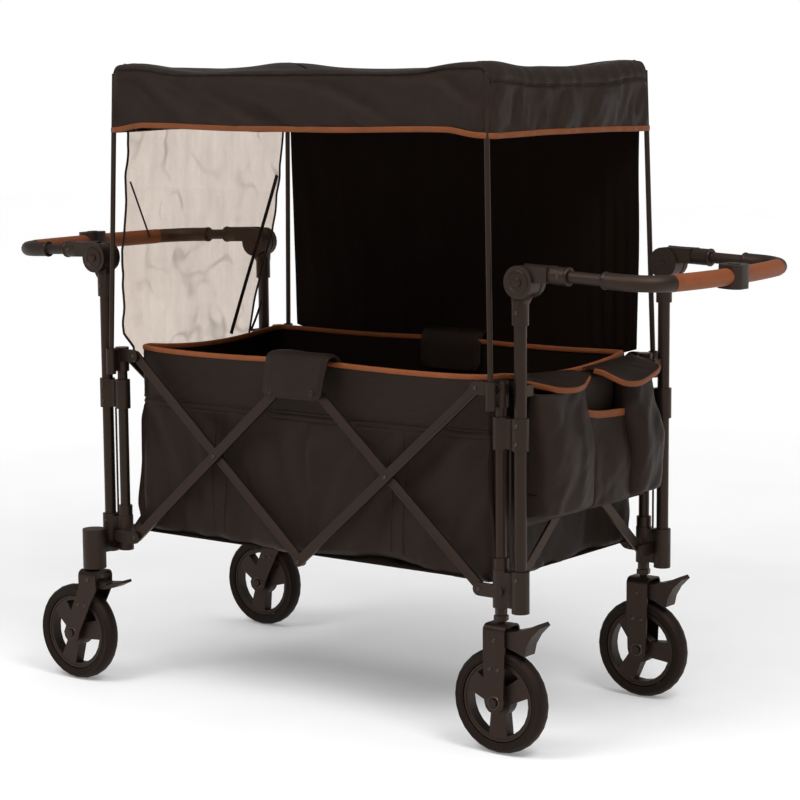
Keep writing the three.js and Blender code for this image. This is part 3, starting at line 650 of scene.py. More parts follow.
def make_tub():
    columns = []
    for (x, y), (nx, ny) in zip(*ring(TUB_X, TUB_Y, TUB_CORNER, TUB_COLUMNS)):
        top, low = rim_height(x, y), bottom_height(x, y)
        column = []
        for z in tub_levels(top, low):
            ease = max(0.0, 1 - (z - low) / TURN_IN)
            push = tub_push(x, y, nx, ny, z) - TURN_IN * (1 - math.sqrt(max(0.0, 1 - ease * ease)))
            column.append((x + nx * push, y + ny * push, z))
        columns.append(column)
    grid = list(np.array(columns).transpose(1, 0, 2))
    edge = grid[-1]
    for share in np.linspace(0.94, 0.04, 22):
        row = edge.copy()
        row[:, :2] *= share
        for k, (x, y, z) in enumerate(row):
            row[k, 2] = z * share + BOTTOM_Z * (1 - share) + 0.004 * fold(x, y, 0.2, 0.12, 8) * (1 - share)
        grid.append(row)
    tub = cloth("tub_cloth", np.array(grid), FABRIC, WALL_CLOTH, wrap=True, flip=True, cap=True, lining=True)
    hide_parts("tub")
    return tub


def tub_line(height, out, lift):
    """A line round the tub at the height that height(x, y) gives, a little out from the cloth and lifted."""
    centres, outs = [], []
    for (x, y), (nx, ny) in zip(*ring(TUB_X, TUB_Y, TUB_CORNER, TUB_COLUMNS)):
        z = height(x, y)
        push = out + tub_push(x, y, nx, ny, z)
        centres.append((x + nx * push, y + ny * push, z + lift))
        outs.append((nx, ny, 0))
    return centres, outs


def make_rim_piping():
    centres, outs = tub_line(rim_height, -0.0014, -0.0005)
    return sweep("rim_binding", centres, outs, UP, 0.0036, 0.0050, PIPING, closed=True, corners=14)


def make_seam_welt():
    """A thin raised welt along the horizontal seam."""
    centres, outs = tub_line(lambda x, y: SEAM_Z + 0.004, 0, 0)
    return sweep("tub_seam_welt", centres, outs, UP, 0.0012, 0.0014, FABRIC, closed=True, corners=8, square=2)


PANEL_SEAMS = (-0.227, -0.199, 0.199, 0.227)


def make_panel_seams():
    """Upright sewn channels of the stiff panels in the long walls."""
    lines = []
    for side in SIDES.values():
        for at in PANEL_SEAMS:
            heights = np.linspace(SEAM_Z - 0.012, bottom_height(at, side * TUB_Y) + 0.018, 44)
            centres = [(at, side * (TUB_Y + tub_push(at, side * TUB_Y, 0, side, z)), z) for z in heights]
            outs = (0, side, 0)
            lines.append(sweep("line", centres, outs, ALONG, 0.0010, 0.0016, FABRIC, corners=8, square=2))
    return merged("tub_panel_seams", lines)


# ---------------------------------------------------------------- flaps over the rim
FLAP_TOP_HALF, FLAP_LOW_HALF = 0.0725, 0.0695
FLAP_TOP_SHIFT, FLAP_LOW_SHIFT = 0.011, -0.0035
FLAP_LOW_Z = 0.600
FLAP_CORNER = 0.017
FLAP_SNAPS = ((-0.054, 0.612), (0.044, 0.614))
FLAP_IN, FLAP_OUT = 0.220, 0.2605  # how far from the middle it hangs inside the tub, and outside
FLAP_CLOTH, SNAP_FACE = 0.0030, 0.2645


def make_rim_flap(side_name, side):
    """Padded flap that folds over the rim and snaps down over the middle pivots."""
    path = [(FLAP_IN, 0.605), (FLAP_IN + 0.001, 0.640), (FLAP_IN + 0.003, 0.664), (FLAP_IN + 0.011, 0.6795),
            (0.243, 0.6830), (FLAP_OUT - 0.002, 0.6775), (FLAP_OUT, 0.664), (FLAP_OUT + 0.0012, 0.645),
            (FLAP_OUT + 0.0008, 0.620), (FLAP_OUT, FLAP_LOW_Z)]
    path = resample(path, 60)
    columns = 40
    gone = run_length(path)
    grid = np.zeros((len(path), columns, 3))
    for i, (y, z) in enumerate(path):
        left, start = gone[-1] - gone[i], gone[i]
        drop = smooth(start, 0.09, gone[-1])
        half = FLAP_TOP_HALF + (FLAP_LOW_HALF - FLAP_TOP_HALF) * drop
        shift = FLAP_TOP_SHIFT + (FLAP_LOW_SHIFT - FLAP_TOP_SHIFT) * drop
        for near_edge in (left, start):
            if near_edge < FLAP_CORNER:
                half -= FLAP_CORNER - math.sqrt(max(0.0, FLAP_CORNER**2 - (FLAP_CORNER - near_edge) ** 2))
        for j in range(columns):
            t = 2 * j / (columns - 1) - 1
            x = half * t
            hem = 1 - bell(min(half - abs(x), left), 0.006, 0.0022) * 0.75
            puff = 0.0030 * min(1.0, (half - abs(x)) / 0.012) * min(1.0, left / 0.012) * hem
            crease = 0.0011 * fold(x, start, 1.2, 0.05, 3 + side)
            over = smooth(start, 0.075, 0.095)
            out = (puff + crease) * (2 * over - 1)
            rise = (puff + crease) * bell(start, 0.085, 0.02)
            grid[i, j] = (x + shift, side * (y + out), z + rise)
    flap = cloth(f"rim_flap_{side_name}", grid, FABRIC, FLAP_CLOTH, flip=side > 0, offset=0)
    snaps = [lathe("snap", SNAP, (x, side * SNAP_FACE, z), (0, side, 0), FRAME_METAL) for x, z in FLAP_SNAPS]
    return flap, merged(f"rim_flap_snaps_{side_name}", snaps)


SNAP = [(0.0022, -0.001), (0.0068, -0.001), (0.0070, 0.0012), (0.0060, 0.0022), (0.0050, 0.0022),
        (0.0042, 0.0014), (0.0028, 0.0014), (0.0014, 0.0020)]


# ---------------------------------------------------------------- rivets, bolts and wheel trim
RIVET = [(0.0018, -0.004), (0.0042, -0.004), (0.0042, 0.0), (0.0040, 0.0008), (0.0030, 0.0016),
         (0.0012, 0.0019)]
HINGE_CAP = [(0.004, -0.001), (0.0215, -0.001), (0.0215, 0.0008), (0.0195, 0.0018), (0.0165, 0.0018),
             (0.0155, 0.0008), (0.0082, 0.0008), (0.0078, 0.0030), (0.0062, 0.0040), (0.0030, 0.0040)]
STEM_NUT = [(0.006, -0.0045), (0.0135, -0.0045), (0.0135, 0.0045), (0.006, 0.0045)]
OUTER_FACE, INNER_FACE = 0.2553, 0.2543  # outer faces of the outer bars, and of the ears on the inner bars
EAR_FACE = 0.2623  # outer faces of the ears on the outer bars
TUBE_FACES = {  # height on the handle tube, and how far the face there stands out from the tube's middle
    "sleeve_top": (0.5895, 0.0155), "sleeve_foot": (0.5575, 0.0155), "socket": (0.318, 0.016),
    "hinge": (0.786, 0.015),
}
HINGE_FACE = POST_Y + 0.0231
ARM_RIVET, ARM_COLLAR, U_LIP = 0.575, 0.589, 0.653  # places along a level handle
WHEEL_AT = {"rear": (POST_X, POST_Y), "front": (-CASTER_X - CASTER_TRAIL, CASTER_Y)}
FORK_CROWN, FORK_MIDDLE = WHEEL_R + 0.112, WHEEL_R + 0.060  # heights of a fork's rivets
FORK_LEAN = 0.37  # where a front fork's neck lies, from its stem to its axle
NUT_Z = 0.2445
WASHER_R, HUB_LIP_R, HUB_LIP_FACE = 0.0112, 0.0705, 0.0112
TYRE_BEADS = (  # radius, offset, half sizes
    (0.0792, 0.0141, 0.0016, 0.0011), (0.0872, 0.0159, 0.0011, 0.0009),
)
AXLE = (0, 1, 0)


def hoop(centre, axis, radius, half_out, half_up, material):
    """A thin ring about an axis."""
    axis = Vector(axis).normalized()
    side = axis.orthogonal().normalized()
    other = axis.cross(side)
    turns = np.linspace(0, 2 * math.pi, 72, endpoint=False)[:, None]
    outs = np.cos(turns) * np.array(side) + np.sin(turns) * np.array(other)
    line = np.array(centre) + radius * outs
    return sweep("hoop", line, outs, axis, half_out, half_up, material, True, 8, 2)


def drooped(point, end, drawn_out=0.0):
    """A point of a level handle, turned down about its hinge by the angle at which the handle rests."""
    dx, dz = point[0] - HINGE.x + drawn_out, point[2] - HINGE.z
    sin, cos = math.sin(DROOP), math.cos(DROOP)
    return (end * (HINGE.x + dx * cos + dz * sin), point[1], HINGE.z - dx * sin + dz * cos)


def rivets(points, side, material=STEEL, profile=RIVET):
    return [lathe("rivet", profile, (x, side * y, z), (0, side, 0), material, 16) for x, y, z in points]


def fit_frame(groups, side):
    """Rivets and handle trim on one side."""
    groups["front_outer_bars"] += rivets([(-CROSS_X, OUTER_FACE, CROSS_Z)], side)
    groups["rear_outer_bars"] += rivets([(CROSS_X, OUTER_FACE, CROSS_Z), (0, OUTER_FACE, PIN_LOW)], side)
    for end_name, end in ENDS.items():
        high_face, low_face = (EAR_FACE, INNER_FACE) if end > 0 else (INNER_FACE, EAR_FACE)
        groups[f"{end_name}_posts"] += rivets([(end * PIN_X, high_face, PIN_HIGH)], side)
        on_tube = {name: (end * TUBE_X, POST_Y + out, z) for name, (z, out) in TUBE_FACES.items()}
        pin = (end * PIN_X, low_face, PIN_LOW)
        fixed = [on_tube["sleeve_top"], on_tube["sleeve_foot"], on_tube["socket"], pin, on_tube["hinge"]]
        groups[f"{end_name}_frame"] += rivets(fixed, side)
        arms = groups[f"{end_name}_handle_arms"]
        arms += rivets([(end * HINGE.x, HINGE_FACE, HINGE.z)], side, FRAME_METAL, HINGE_CAP)
        arms += rivets([drooped((ARM_RIVET, POST_Y + ARM_R, ARM_Z), end)], side)
        axis = Vector(drooped((1, 0, ARM_Z), end)) - Vector(drooped((0, 0, ARM_Z), end))
        collar = drooped((ARM_COLLAR, side * POST_Y, ARM_Z), end)
        arms.append(hoop(collar, axis, ARM_R, 0.0012, 0.0032, FRAME_METAL))
        lip = drooped((U_LIP, side * POST_Y, ARM_Z), end, DRAWN_OUT[end_name])
        groups[f"{end_name}_handle"].append(hoop(lip, axis, U_R, 0.0011, 0.0030, FRAME_METAL))


def fit_wheel(groups, end_name, side_name):
    """Fork rivets, axle washers, rim lips and tyre beads of one wheel."""
    end, side = ENDS[end_name], SIDES[side_name]
    x, y = WHEEL_AT[end_name]
    fork = groups["rear_frame" if end > 0 else f"front_caster_{side_name}"]
    wheel = groups[f"{end_name}_wheel_{side_name}"]
    stem = end * (POST_X if end > 0 else CASTER_X)
    neck = stem + FORK_LEAN * (x - stem)
    for face in (-1, 1):
        cheek = side * (y + side * face * FORK_FACE)
        for rivet_x, z in ((stem, FORK_CROWN), (neck - 0.009, FORK_MIDDLE), (neck + 0.009, FORK_MIDDLE)):
            fork.append(lathe("rivet", RIVET, (rivet_x, cheek, z), (0, face, 0), STEEL, 16))
        washer = (x, side * y + face * (FORK_FACE + 0.0003), WHEEL_R)
        fork.append(hoop(washer, AXLE, WASHER_R, 0.0016, 0.0010, STEEL))
        for radius, offset, half_out, half_up in TYRE_BEADS:
            bead = (x, side * y + face * offset, WHEEL_R)
            wheel.append(hoop(bead, AXLE, radius, half_out, half_up, RUBBER))
        lip = (x, side * y + face * HUB_LIP_FACE, WHEEL_R)
        wheel.append(hoop(lip, AXLE, HUB_LIP_R, 0.0024, 0.0016, HUB_PLASTIC))
    if end > 0:
        fork.append(lathe("nut", STEM_NUT, (x, side * y, NUT_Z), UP, FRAME_METAL, 6))


def make_fittings():
    """Every small fitting, one piece for each body that it rides on."""
    groups = defaultdict(list)
    for side in SIDES.values():
        fit_frame(groups, side)
    for end_name in ENDS:
        for side_name in SIDES:
            fit_wheel(groups, end_name, side_name)
    for body, parts in groups.items():
        fittings = merged(f"fittings_{body}", parts)
        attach(fittings, body)


# ---------------------------------------------------------------- canopy
TOP_X, TOP_Y = CANOPY_HIGH.x, CANOPY_HIGH.y
CANOPY_CORNER = 0.023
CANOPY_COLUMNS = 380
SHOULDER_ROWS = 9
VALANCE_ROWS = 30
DOME_ROWS = 30
TOP_Z, LONG_EDGE_Z, SHORT_EDGE_Z = 1.181, 1.2035, 1.2055  # middle of the top, and its edges
CANOPY_CLOTH, VALANCE_IN = 0.0018, 0.004


def top_height(x, y):
    """Four domes over the rod tips with the cloth sagging between them."""
    rail_y = smooth(abs(y), 0.06, TOP_Y - 0.02) ** 1.4
    rail_x = smooth(abs(x), 0.18, TOP_X - 0.02) ** 2
    base = TOP_Z + max((LONG_EDGE_Z - TOP_Z) * rail_y, (SHORT_EDGE_Z - TOP_Z) * rail_x)
    dome = 0.0125 * bell(abs(x), TOP_X - 0.062, 0.075) * bell(abs(y), TOP_Y - 0.055, 0.075)
    sag = -0.004 * bell(abs(x), 0.19, 0.09) * rail_y * (1 if y < 0 else 0.7)
    return base + dome + sag + 0.0016 * fold(x, y, 0.5, 0.11, 4.4)


def end_share(nx, ny):
    return smooth(abs(nx) - abs(ny), -0.5, 0.5)


def corner_share(nx, ny):
    return 1 - abs(abs(nx) - abs(ny))


def canopy_seam(x, y, nx, ny):
    """Height of the seam that joins the top panel to the valance."""
    end = end_share(nx, ny)
    turn = 0.006 * corner_share(nx, ny)
    side = 1.1925 + 0.0105 * smooth(abs(x), 0.27, 0.37)
    short = 1.1715 + 0.0095 * smooth(abs(y), 0.10, 0.23)
    return side * (1 - end) + short * end - turn


def canopy_hem(x, y, nx, ny):
    end = end_share(nx, ny)
    side = 1.0900 + 0.0035 * smooth(abs(x), 0.1, 0.33) - 0.0095 * smooth(abs(x), 0.355, 0.435)
    short = 1.0850 - 0.0022 * smooth(abs(y), 0.08, 0.25)
    return side * (1 - end) + short * end


def canopy_push(x, y, nx, ny, z, seam, hem):
    end = end_share(nx, ny)
    u = y * (1 if nx > 0 else -1) if end > 0.5 else x * (1 if ny < 0 else -1)
    seed = 3.1 * nx + 7.3 * ny
    down = (seam - z) / (seam - hem)
    body = smooth(down, 0.0, 0.25)
    if end > 0.5:
        height = 0.0074 * fold(u, z, 1.0, 0.042, seed, 3.2) * body * (1 - 0.55 * smooth(down, 0.7, 1))
        height += 0.0025 * fold(u, z, 1.35, 0.022, seed + 4, 3)
    else:
        height = 0.0095 * fold(u, z, -0.42, 0.050, seed, 5) * body * (1 - 0.5 * smooth(down, 0.75, 1))
        height += 0.0016 * fold(u, z, 0.9, 0.035, seed + 4)
    height *= smooth(TOP_X - abs(x), 0.0, 0.05) if end < 0.5 else smooth(TOP_Y - abs(y), 0.0, 0.04)
    pucker = 0.0014 * noise.noise(Vector((u * 70, 1.7, seed))) * math.exp(-down / 0.16)
    return height + pucker - 0.003 * (1 - down)


def make_canopy():
    flat, normals = ring(TOP_X - VALANCE_IN, TOP_Y - VALANCE_IN, CANOPY_CORNER, CANOPY_COLUMNS)
    shoulder, valance, welt = [[] for _ in range(SHOULDER_ROWS)], [[] for _ in range(VALANCE_ROWS)], []
    for (x, y), (nx, ny) in zip(flat, normals):
        seam, hem = canopy_seam(x, y, nx, ny), canopy_hem(x, y, nx, ny)
        inset = 0.018 + 0.012 * end_share(nx, ny) + 0.003 * corner_share(nx, ny)
        inner_x, inner_y = x - nx * inset, y - ny * inset
        crown = top_height(inner_x, inner_y)
        start = canopy_push(x, y, nx, ny, seam, seam, hem)
        for k in range(SHOULDER_ROWS):
            angle = math.pi / 2 * k / SHOULDER_ROWS
            out = -inset * (1 - math.sin(angle)) + start * math.sin(angle)
            pinch = 0.0012 * noise.noise(Vector((x * 60, y * 60, 5.5))) * math.sin(angle) ** 3
            shoulder[k].append((x + nx * out, y + ny * out, seam + (crown - seam) * math.cos(angle) + pinch))
        for k in range(VALANCE_ROWS):
            z = seam + (hem - seam) * k / (VALANCE_ROWS - 1)
            groove = -0.0042 * bell(z, seam, 0.0034)
            out = canopy_push(x, y, nx, ny, z, seam, hem) + groove
            valance[k].append((x + nx * out, y + ny * out, z))
        welt.append((x + nx * (start - 0.0030), y + ny * (start - 0.0030), seam + 0.0004))
    grid = []
    edge = np.array(shoulder[0])
    for share in np.linspace(0.03, 0.97, DOME_ROWS):
        row = edge.copy()
        row[:, :2] *= share
        row[:, 2] = [top_height(x, y) for x, y, _ in row]
        grid.append(row)
    grid += [np.array(row) for row in shoulder + valance]
    grid = np.array(grid[::-1])
    canopy = cloth("canopy_cloth", grid, FABRIC, CANOPY_CLOTH, wrap=True, cap=True, lining=True)
    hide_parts("canopy")
    outs = np.array([(nx, ny, 0) for nx, ny in normals])
    line = sweep("canopy_seam_welt", welt, outs, UP, 0.0014, 0.0014, FABRIC, True, 8, 2)
    hem_line = np.array(valance[-1])
    hem_line[:, 2] += 0.0052
    hem_line[:, :2] += outs[:, :2] * 0.0004
    binding = sweep("canopy_binding", hem_line, outs, UP, 0.0024, 0.0052, SHADED_BINDING, True, 14, 4)
    return canopy, line, binding


# ---------------------------------------------------------------- curtain and net
CURTAIN_HEM_Z = 0.652


def make_curtain():
    """Blackout curtain on the far side, hung from under the canopy to behind the rim."""
    rows, columns = 56, 120
    low, high = CURTAIN_HEM_Z, CURTAIN_HIGH.z - 0.004
    grid = np.zeros((rows, columns, 3))
    for i in range(rows):
        down = i / (rows - 1)
        z = high + (low - high) * i / (rows - 1)
        half = 0.424 - 0.006 * down if z > TUB_HIGH.z else 0.418 - 0.030 * smooth(TUB_HIGH.z - z, 0.0, 0.006)
        for j in range(columns):
            t = 2 * j / (columns - 1) - 1
            x = half * t
            ripple = 1 + fold(x, z, math.pi / 2 + 0.06, 0.055, 2.2, 7)
            depth = 0.0045 * ripple * (0.3 + 0.7 * smooth(down, 0, 0.6))
            crowd = 0.0040 * bell(x, 0.36, 0.05) * (1 + math.sin(x * 230)) * smooth(down, 0.05, 0.5)
            hem = 0.001 * bell(z, low + 0.02, 0.002)
            grid[i, j] = (x, CURTAIN_LOW.y - 0.0005 + min(0.0115, max(0.0, depth + crowd)) - hem, z)
    curtain = cloth("side_curtain_cloth", grid, CURTAIN_CLOTH, 0.0012, offset=0)
    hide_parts("side_curtain")
    return curtain


NET_X, TIE_X = -0.4375, -0.4345
# (height, y) along the net's two edges
NET_NEAR = ((0.640, -0.218), (0.666, -0.221), (0.692, -0.247), (0.837, -0.246), (0.924, -0.232),
            (1.078, -0.224), (1.199, -0.209))
NET_FAR = ((0.650, 0.124), (0.787, 0.174), (0.899, 0.218), (1.068, 0.247), (1.199, 0.249))


def net_edges(z):
    """The net's near and far edges at a height."""
    return tuple(float(np.interp(z, *np.transpose(edge))) for edge in (NET_NEAR, NET_FAR))


def net_depth(y, z):
    crease = 0.0042 * fold(y, z, math.pi / 2 - 0.9, 0.055, 6.1, 3.0)
    fine = 0.0018 * fold(y, z, 0.5, 0.035, 1.9, 3)
    return max(-0.006, min(0.006, crease + fine))


NET_TIES = (  # name, (y, z) path, half width
    ("far", ((0.222, 0.982), (0.183, 0.899), (0.131, 0.795), (0.097, 0.725), (0.068, 0.664)), 0.0048),
    ("side", ((0.168, 0.725), (0.147, 0.689), (0.130, 0.664)), 0.0030),
    ("near", ((-0.222, 0.988), (-0.205, 0.952), (-0.170, 0.877)), 0.0020),
)


def make_net():
    rows, columns = 110, 100
    grid = np.zeros((rows, columns, 3))
    for i in range(rows):
        z = NET_HIGH.z - 0.003 + (NET_LOW.z - 0.022 - NET_HIGH.z) * i / (rows - 1)
        near, far = net_edges(z)
        for j in range(columns):
            y = near + (far - near) * j / (columns - 1)
            grid[i, j] = (NET_X + net_depth(y, z), y, z)
    panel = cloth("end_net", grid, NET, 0.0004, offset=0)
    panel.modifiers["thickness"].use_rim = False
    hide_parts("mesh_panel")
    trims = []
    heights = np.linspace(NET_HIGH.z - 0.004, NET_LOW.z - 0.020, 60)
    for name, k in (("near", 0), ("far", 1)):
        line = [(NET_X + net_depth(net_edges(z)[k], z), net_edges(z)[k], z) for z in heights]
        trims.append(strip(f"net_binding_{name}", line, 0.0012, 0.0026))
    for name, path, half in NET_TIES:
        tie = resample([(TIE_X, y, z) for y, z in path], 40)
        trims.append(strip(f"net_strap_{name}", tie, 0.0009, half))
    return [panel, *trims]


def strip(name, line, half_thick, half_wide):
    """A flat strap along a line that lies in the plane of the net."""
    tangent = unit(np.gradient(np.asarray(line, float), axis=0))
    ups = unit(np.cross(tangent, ALONG))
    outs = unit(np.cross(ups, tangent))
    return sweep(name, line, outs, ups, half_thick, half_wide, WEBBING, corners=10, square=4)


# ---------------------------------------------------------------- floor mat
MAT_CELL = (0.212, 0.15)  # between the sewn channels


def make_mat():
    low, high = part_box("floor_mat")
    columns, rows = 150, 84
    grid = np.zeros((rows, columns, 3))
    for i in range(rows):
        y = low.y + (high.y - low.y) * i / (rows - 1)
        for j in range(columns):
            x = low.x + (high.x - low.x) * j / (columns - 1)
            cell_x = abs(math.sin(math.pi * x / MAT_CELL[0]))
            cell_y = abs(math.cos(math.pi * y / MAT_CELL[1]))
            edge = min(x - low.x, high.x - x, y - low.y, high.y - y)
            rise = smooth(edge, -0.001, 0.016) * (0.35 + 0.65 * min(cell_x, cell_y, 0.3) / 0.3)
            shrink = 1 - 0.004 * (abs(x) > 0.4)
            grid[i, j] = (x * shrink, y * shrink, low.z + 0.001 + (high.z - low.z - 0.001) * rise)
    mat = cloth("floor_mat_pad", grid, LINING, 0.004)
    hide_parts("floor_mat")
    return mat


# ---------------------------------------------------------------- pockets
BACK_X = 0.4725  # outer face of the organizer's back panel
# span along Y, mouth height and its tilt, bottom, depths at mouth and belly, the mouth's share of the width
POUCHES = {
    "near": dict(y=(-0.1985, -0.028), top=0.640, tilt=0.0, low=0.412, depth=(0.034, 0.060), narrow=0.92,
                 seed=1.0),
    "middle": dict(y=(-0.040, 0.110), top=0.587, tilt=-0.010, low=0.406, depth=(0.028, 0.047), narrow=1.0,
                   seed=5.0),
    "far": dict(y=(0.085, 0.1985), top=0.640, tilt=0.0, low=0.414, depth=(0.034, 0.062), narrow=0.86,
                seed=9.0),
}
POUCH_TURN = 0.82  # share of the way down at which the front turns under
POUCH_BOTTOM_R = 0.014


def pouch_point(p, t, v):
    """A point on a pouch: t from -1 to 1 round its front, v from 0 at the mouth to 1 under the bottom."""
    (y0, y1), seed = p["y"], p["seed"]
    centre, half = (y0 + y1) / 2, (y1 - y0) / 2
    body = min(v / POUCH_TURN, 1.0)
    under = smooth(v, 0.80, 1.0)
    mouth = p["top"] + p["tilt"] * t
    z = mouth + (p["low"] + POUCH_BOTTOM_R - mouth) * body
    swell = math.sin(math.pi * min(1.0, 0.12 + 0.80 * body)) ** 0.7
    depth = p["depth"][0] + (p["depth"][1] - p["depth"][0]) * smooth(body, 0.0, 0.62) * (0.5 + 0.5 * swell)
    width = half * (p["narrow"] + (1 - p["narrow"]) * smooth(body, 0.0, 0.45))
    angle = t * math.pi / 2
    cosine, sine = math.cos(angle), math.sin(angle)
    out = depth * abs(cosine) ** 0.52
    y = centre + width * math.copysign(abs(sine) ** 0.66, sine)
    if v > POUCH_TURN:
        turn = (v - POUCH_TURN) / (1 - POUCH_TURN) * math.pi / 2
        out *= max(0.0, math.cos(turn)) ** 0.75
        z = p["low"] + POUCH_BOTTOM_R * (1 - math.sin(turn)) + 0.006 * (1 - out / p["depth"][1])
    round_corner = 0.030 * smooth(abs(t), 0.45, 0.95) * smooth(body, 0.82, 1.0)
    z += round_corner * (1 - under)
    crease = 0.0042 * fold(y, z, 1.45, 0.040, seed, 5) * cosine * smooth(body, 0.02, 0.3) * (1 - under)
    small = 0.0022 * fold(y, z, 0.8, 0.028, seed + 3, 3) * cosine * (1 - under)
    sag = -0.004 * (1 - t * t) * (1 - smooth(v, 0.0, 0.12))
    return np.array((BACK_X + max(0.0, out + crease + small), y, z + sag))


def make_pouch(name):
    p = POUCHES[name]
    ts, vs = np.linspace(-1, 1, 64), np.linspace(0, 1, 52)
    grid = np.array([[pouch_point(p, t, v) for t in ts] for v in vs])
    pouch = cloth(f"pocket_{name}", grid, FABRIC, WALL_CLOTH, flip=True, lining=True)
    if name != "middle":
        return (pouch,)
    mouth = np.array([pouch_point(p, t, 0.0) for t in np.linspace(-0.97, 0.97, 60)])
    return pouch, edge_binding("pocket_binding_middle", mouth, UP, 0.0045, 0.0022, 0.0070)


def edge_binding(name, edge, up, drop, half_out, half_up):
    """Binding along a pocket's edge, a little below it."""
    outs = unit(np.cross(unit(np.gradient(edge, axis=0)), up))
    line = edge - (0, 0, drop)
    return sweep(name, line, outs, up, half_out, half_up, SHADED_BINDING, corners=14, square=4)


def make_organizer_back():
    """Back panel from the rim down behind the pouches, with a strip that hooks over the rim."""
    path = [(0.4395, 0.6500), (0.4430, 0.6560), (0.452, 0.6570), (0.463, 0.6560), (0.4695, 0.648),
            (0.4705, 0.630), (0.4705, 0.54), (0.4705, 0.46), (0.4700, 0.402)]
    path = resample(path, 46)
    ys = np.linspace(-0.197, 0.200, 90)
    grid = np.zeros((len(path), len(ys), 3))
    for i, (x, z) in enumerate(path):
        for j, y in enumerate(ys):
            wave = 0.0012 * fold(y, z, 1.3, 0.05, 7.7) * smooth(0.66 - z, 0.0, 0.05)
            dip = 0.006 * max(0.0, 1 - (y / 0.19) ** 2) * smooth(z, 0.62, 0.65)
            grid[i, j] = (x + wave, y, z - dip)
    back = cloth("organizer_back", grid, FABRIC, WALL_CLOTH, flip=True, offset=0)
    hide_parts("pocket_organizer")
    return back


FLAP_EDGES = {  # outer, scalloped edge from the near end to the far end, and the straight edge at the rim
    "near": (((0.455, -0.190, 0.660), (0.490, -0.162, 0.650), (0.509, -0.143, 0.644), (0.520, -0.111, 0.642),
              (0.515, -0.075, 0.643), (0.503, -0.045, 0.647), (0.497, -0.028, 0.652)),
             ((0.4400, -0.197, 0.668), (0.4445, -0.030, 0.660))),
    "far": (((0.472, 0.026, 0.658), (0.490, 0.028, 0.655), (0.510, 0.036, 0.645), (0.525, 0.053, 0.636),
             (0.534, 0.088, 0.634), (0.533, 0.139, 0.645), (0.524, 0.170, 0.651), (0.505, 0.188, 0.655)),
            ((0.4445, 0.030, 0.658), (0.4400, 0.197, 0.665))),
}


FLAP_UP = (0.25, 0, 1)  # the binding leans a little outwards


def make_pocket_flap(side):
    rows, columns = 26, 70
    outer, (start, end) = FLAP_EDGES[side]
    edge = resample(outer, columns)
    grid = np.zeros((rows, columns, 3))
    for j, tip in enumerate(edge):
        v = j / (columns - 1)
        back = np.array(start) * (1 - v) + np.array(end) * v
        for i in range(rows):
            u = i / (rows - 1)
            at = back * (1 - u) + tip * u
            arch = math.sin(math.pi * u)
            at[2] += 0.005 * arch * (1 - u) + 0.0024 * fold(at[0], at[1], 0.4, 0.04, 2) * arch
            grid[i, j] = at
    flap = cloth(f"pocket_flap_{side}", grid, FABRIC, WALL_CLOTH, offset=0)
    return flap, edge_binding(f"pocket_flap_binding_{side}", grid[-1], unit(FLAP_UP), 0.0026, 0.0020, 0.0052)


# ---------------------------------------------------------------- assembly
def make_soft_goods():
    tub = (make_tub(), make_seam_welt(), make_panel_seams(), make_rim_piping())
    for obj in (*tub, *make_canopy(), make_curtain(), make_mat()):
        soft(obj)
    for side_name, side in SIDES.items():
        flap, snaps = make_rim_flap(side_name, side)
        soft(flap)
        soft(snaps)
    for obj in make_net():
        soft(obj)
    pouches = [part for name in POUCHES for part in make_pouch(name)]
    flaps = [part for side in SIDES for part in make_pocket_flap(side)]
    for part in (make_organizer_back(), *pouches, *flaps):
        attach(part, FABRIC_BODY)


FLOOR_HALF, FLOOR_Z = 14, -0.0005
GLOW_FROM, GLOW_TO = 1.4, 4.5  # distances between which the floor's glow, a painted light, rises so that the floor brightens into the white behind it
LAMP_AIM = Vector((0, 0, 0.65))
LAMPS = (  # name, kind, place, size, power
    ("overhead", "SUN", (0.6, -0.5, 3.0), 1.4, 1.5),
    ("key", "AREA", (2.4, -1.2, 3.2), 1.2, 58),
    ("front", "AREA", (-0.7, -2.3, 3.2), 1.4, 50),
)


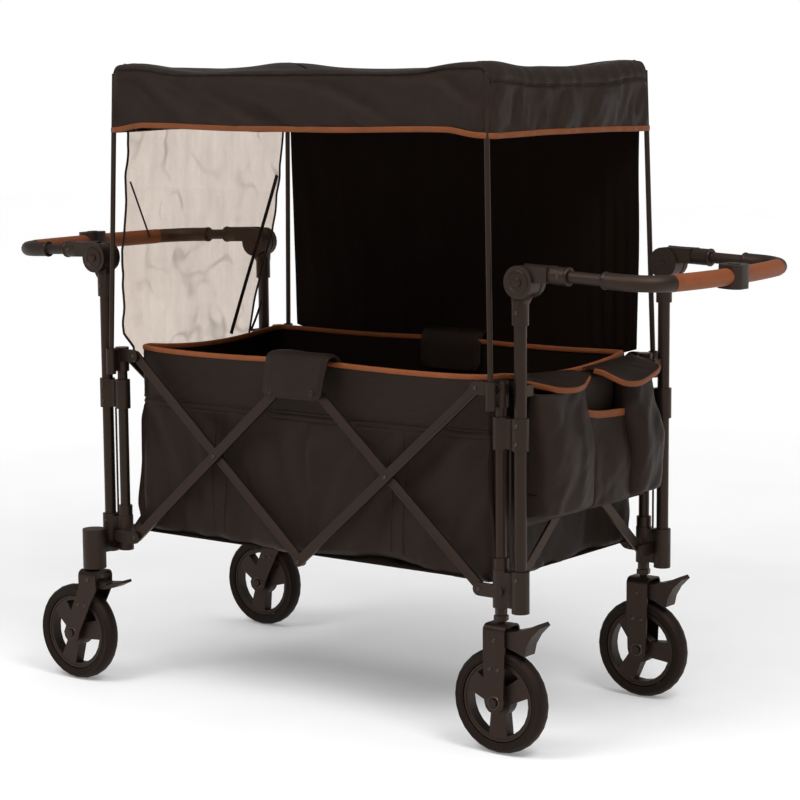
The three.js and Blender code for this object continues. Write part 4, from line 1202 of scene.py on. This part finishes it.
def make_floor():
    nodes = Nodes("studio_floor")
    tone = nodes.mix(nodes.ramp(nodes.noise(3, 2), *CLOUD), (0.71, 0.71, 0.71, 1), (0.74, 0.74, 0.74, 1))
    away = nodes.add("ShaderNodeVectorMath", {0: nodes.place()}, operation="LENGTH").outputs["Value"]
    # painted light: the floor glows, which keeps the shadows on it faint and also lights the wagon from below
    nodes.set(Base_Color=tone, Roughness=0.9, Emission_Color=(1, 1, 1, 1),
              Emission_Strength=nodes.ramp(away, GLOW_FROM, GLOW_TO, 0.20, 0.44))
    corners = [(FLOOR_HALF * x, FLOOR_HALF * y, 0) for x, y in ((-1, -1), (1, -1), (1, 1), (-1, 1))]
    floor = piece("studio_floor", corners, [(0, 1, 2, 3)], nodes.material)
    floor.location.z = FLOOR_Z


def make_sky():
    """A white horizon under a dimmer sky, so that the dark cloth keeps its depth."""
    world = bpy.data.worlds.new("studio")
    world.use_nodes = True
    tree = world.node_tree
    coordinate, split = tree.nodes.new("ShaderNodeTexCoord"), tree.nodes.new("ShaderNodeSeparateXYZ")
    fade = tree.nodes.new("ShaderNodeMapRange")
    for socket, value in (("From Min", 0.05), ("From Max", 0.20), ("To Min", 1.02), ("To Max", 0.30)):
        fade.inputs[socket].default_value = value
    tree.links.new(coordinate.outputs["Generated"], split.inputs[0])
    tree.links.new(split.outputs[2], fade.inputs[0])
    tree.nodes["Background"].inputs["Color"].default_value = (1, 1, 1, 1)
    tree.links.new(fade.outputs[0], tree.nodes["Background"].inputs["Strength"])
    bpy.context.scene.world = world
    bpy.context.scene.view_settings.view_transform = "Standard"


def make_lamps():
    for name, kind, at, size, power in LAMPS:
        data = bpy.data.lights.new(name, kind)
        data.energy = power
        setattr(data, "angle" if kind == "SUN" else "size", size)
        lamp = bpy.data.objects.new(name, data)
        lamp.location = at
        lamp.rotation_mode = "QUATERNION"
        lamp.rotation_quaternion = (LAMP_AIM - Vector(at)).to_track_quat("-Z", "Y")
        bpy.context.scene.collection.objects.link(lamp)


make_camera()
make_floor()
make_sky()
make_lamps()
finish_cad_nodes()
make_fittings()
make_soft_goods()
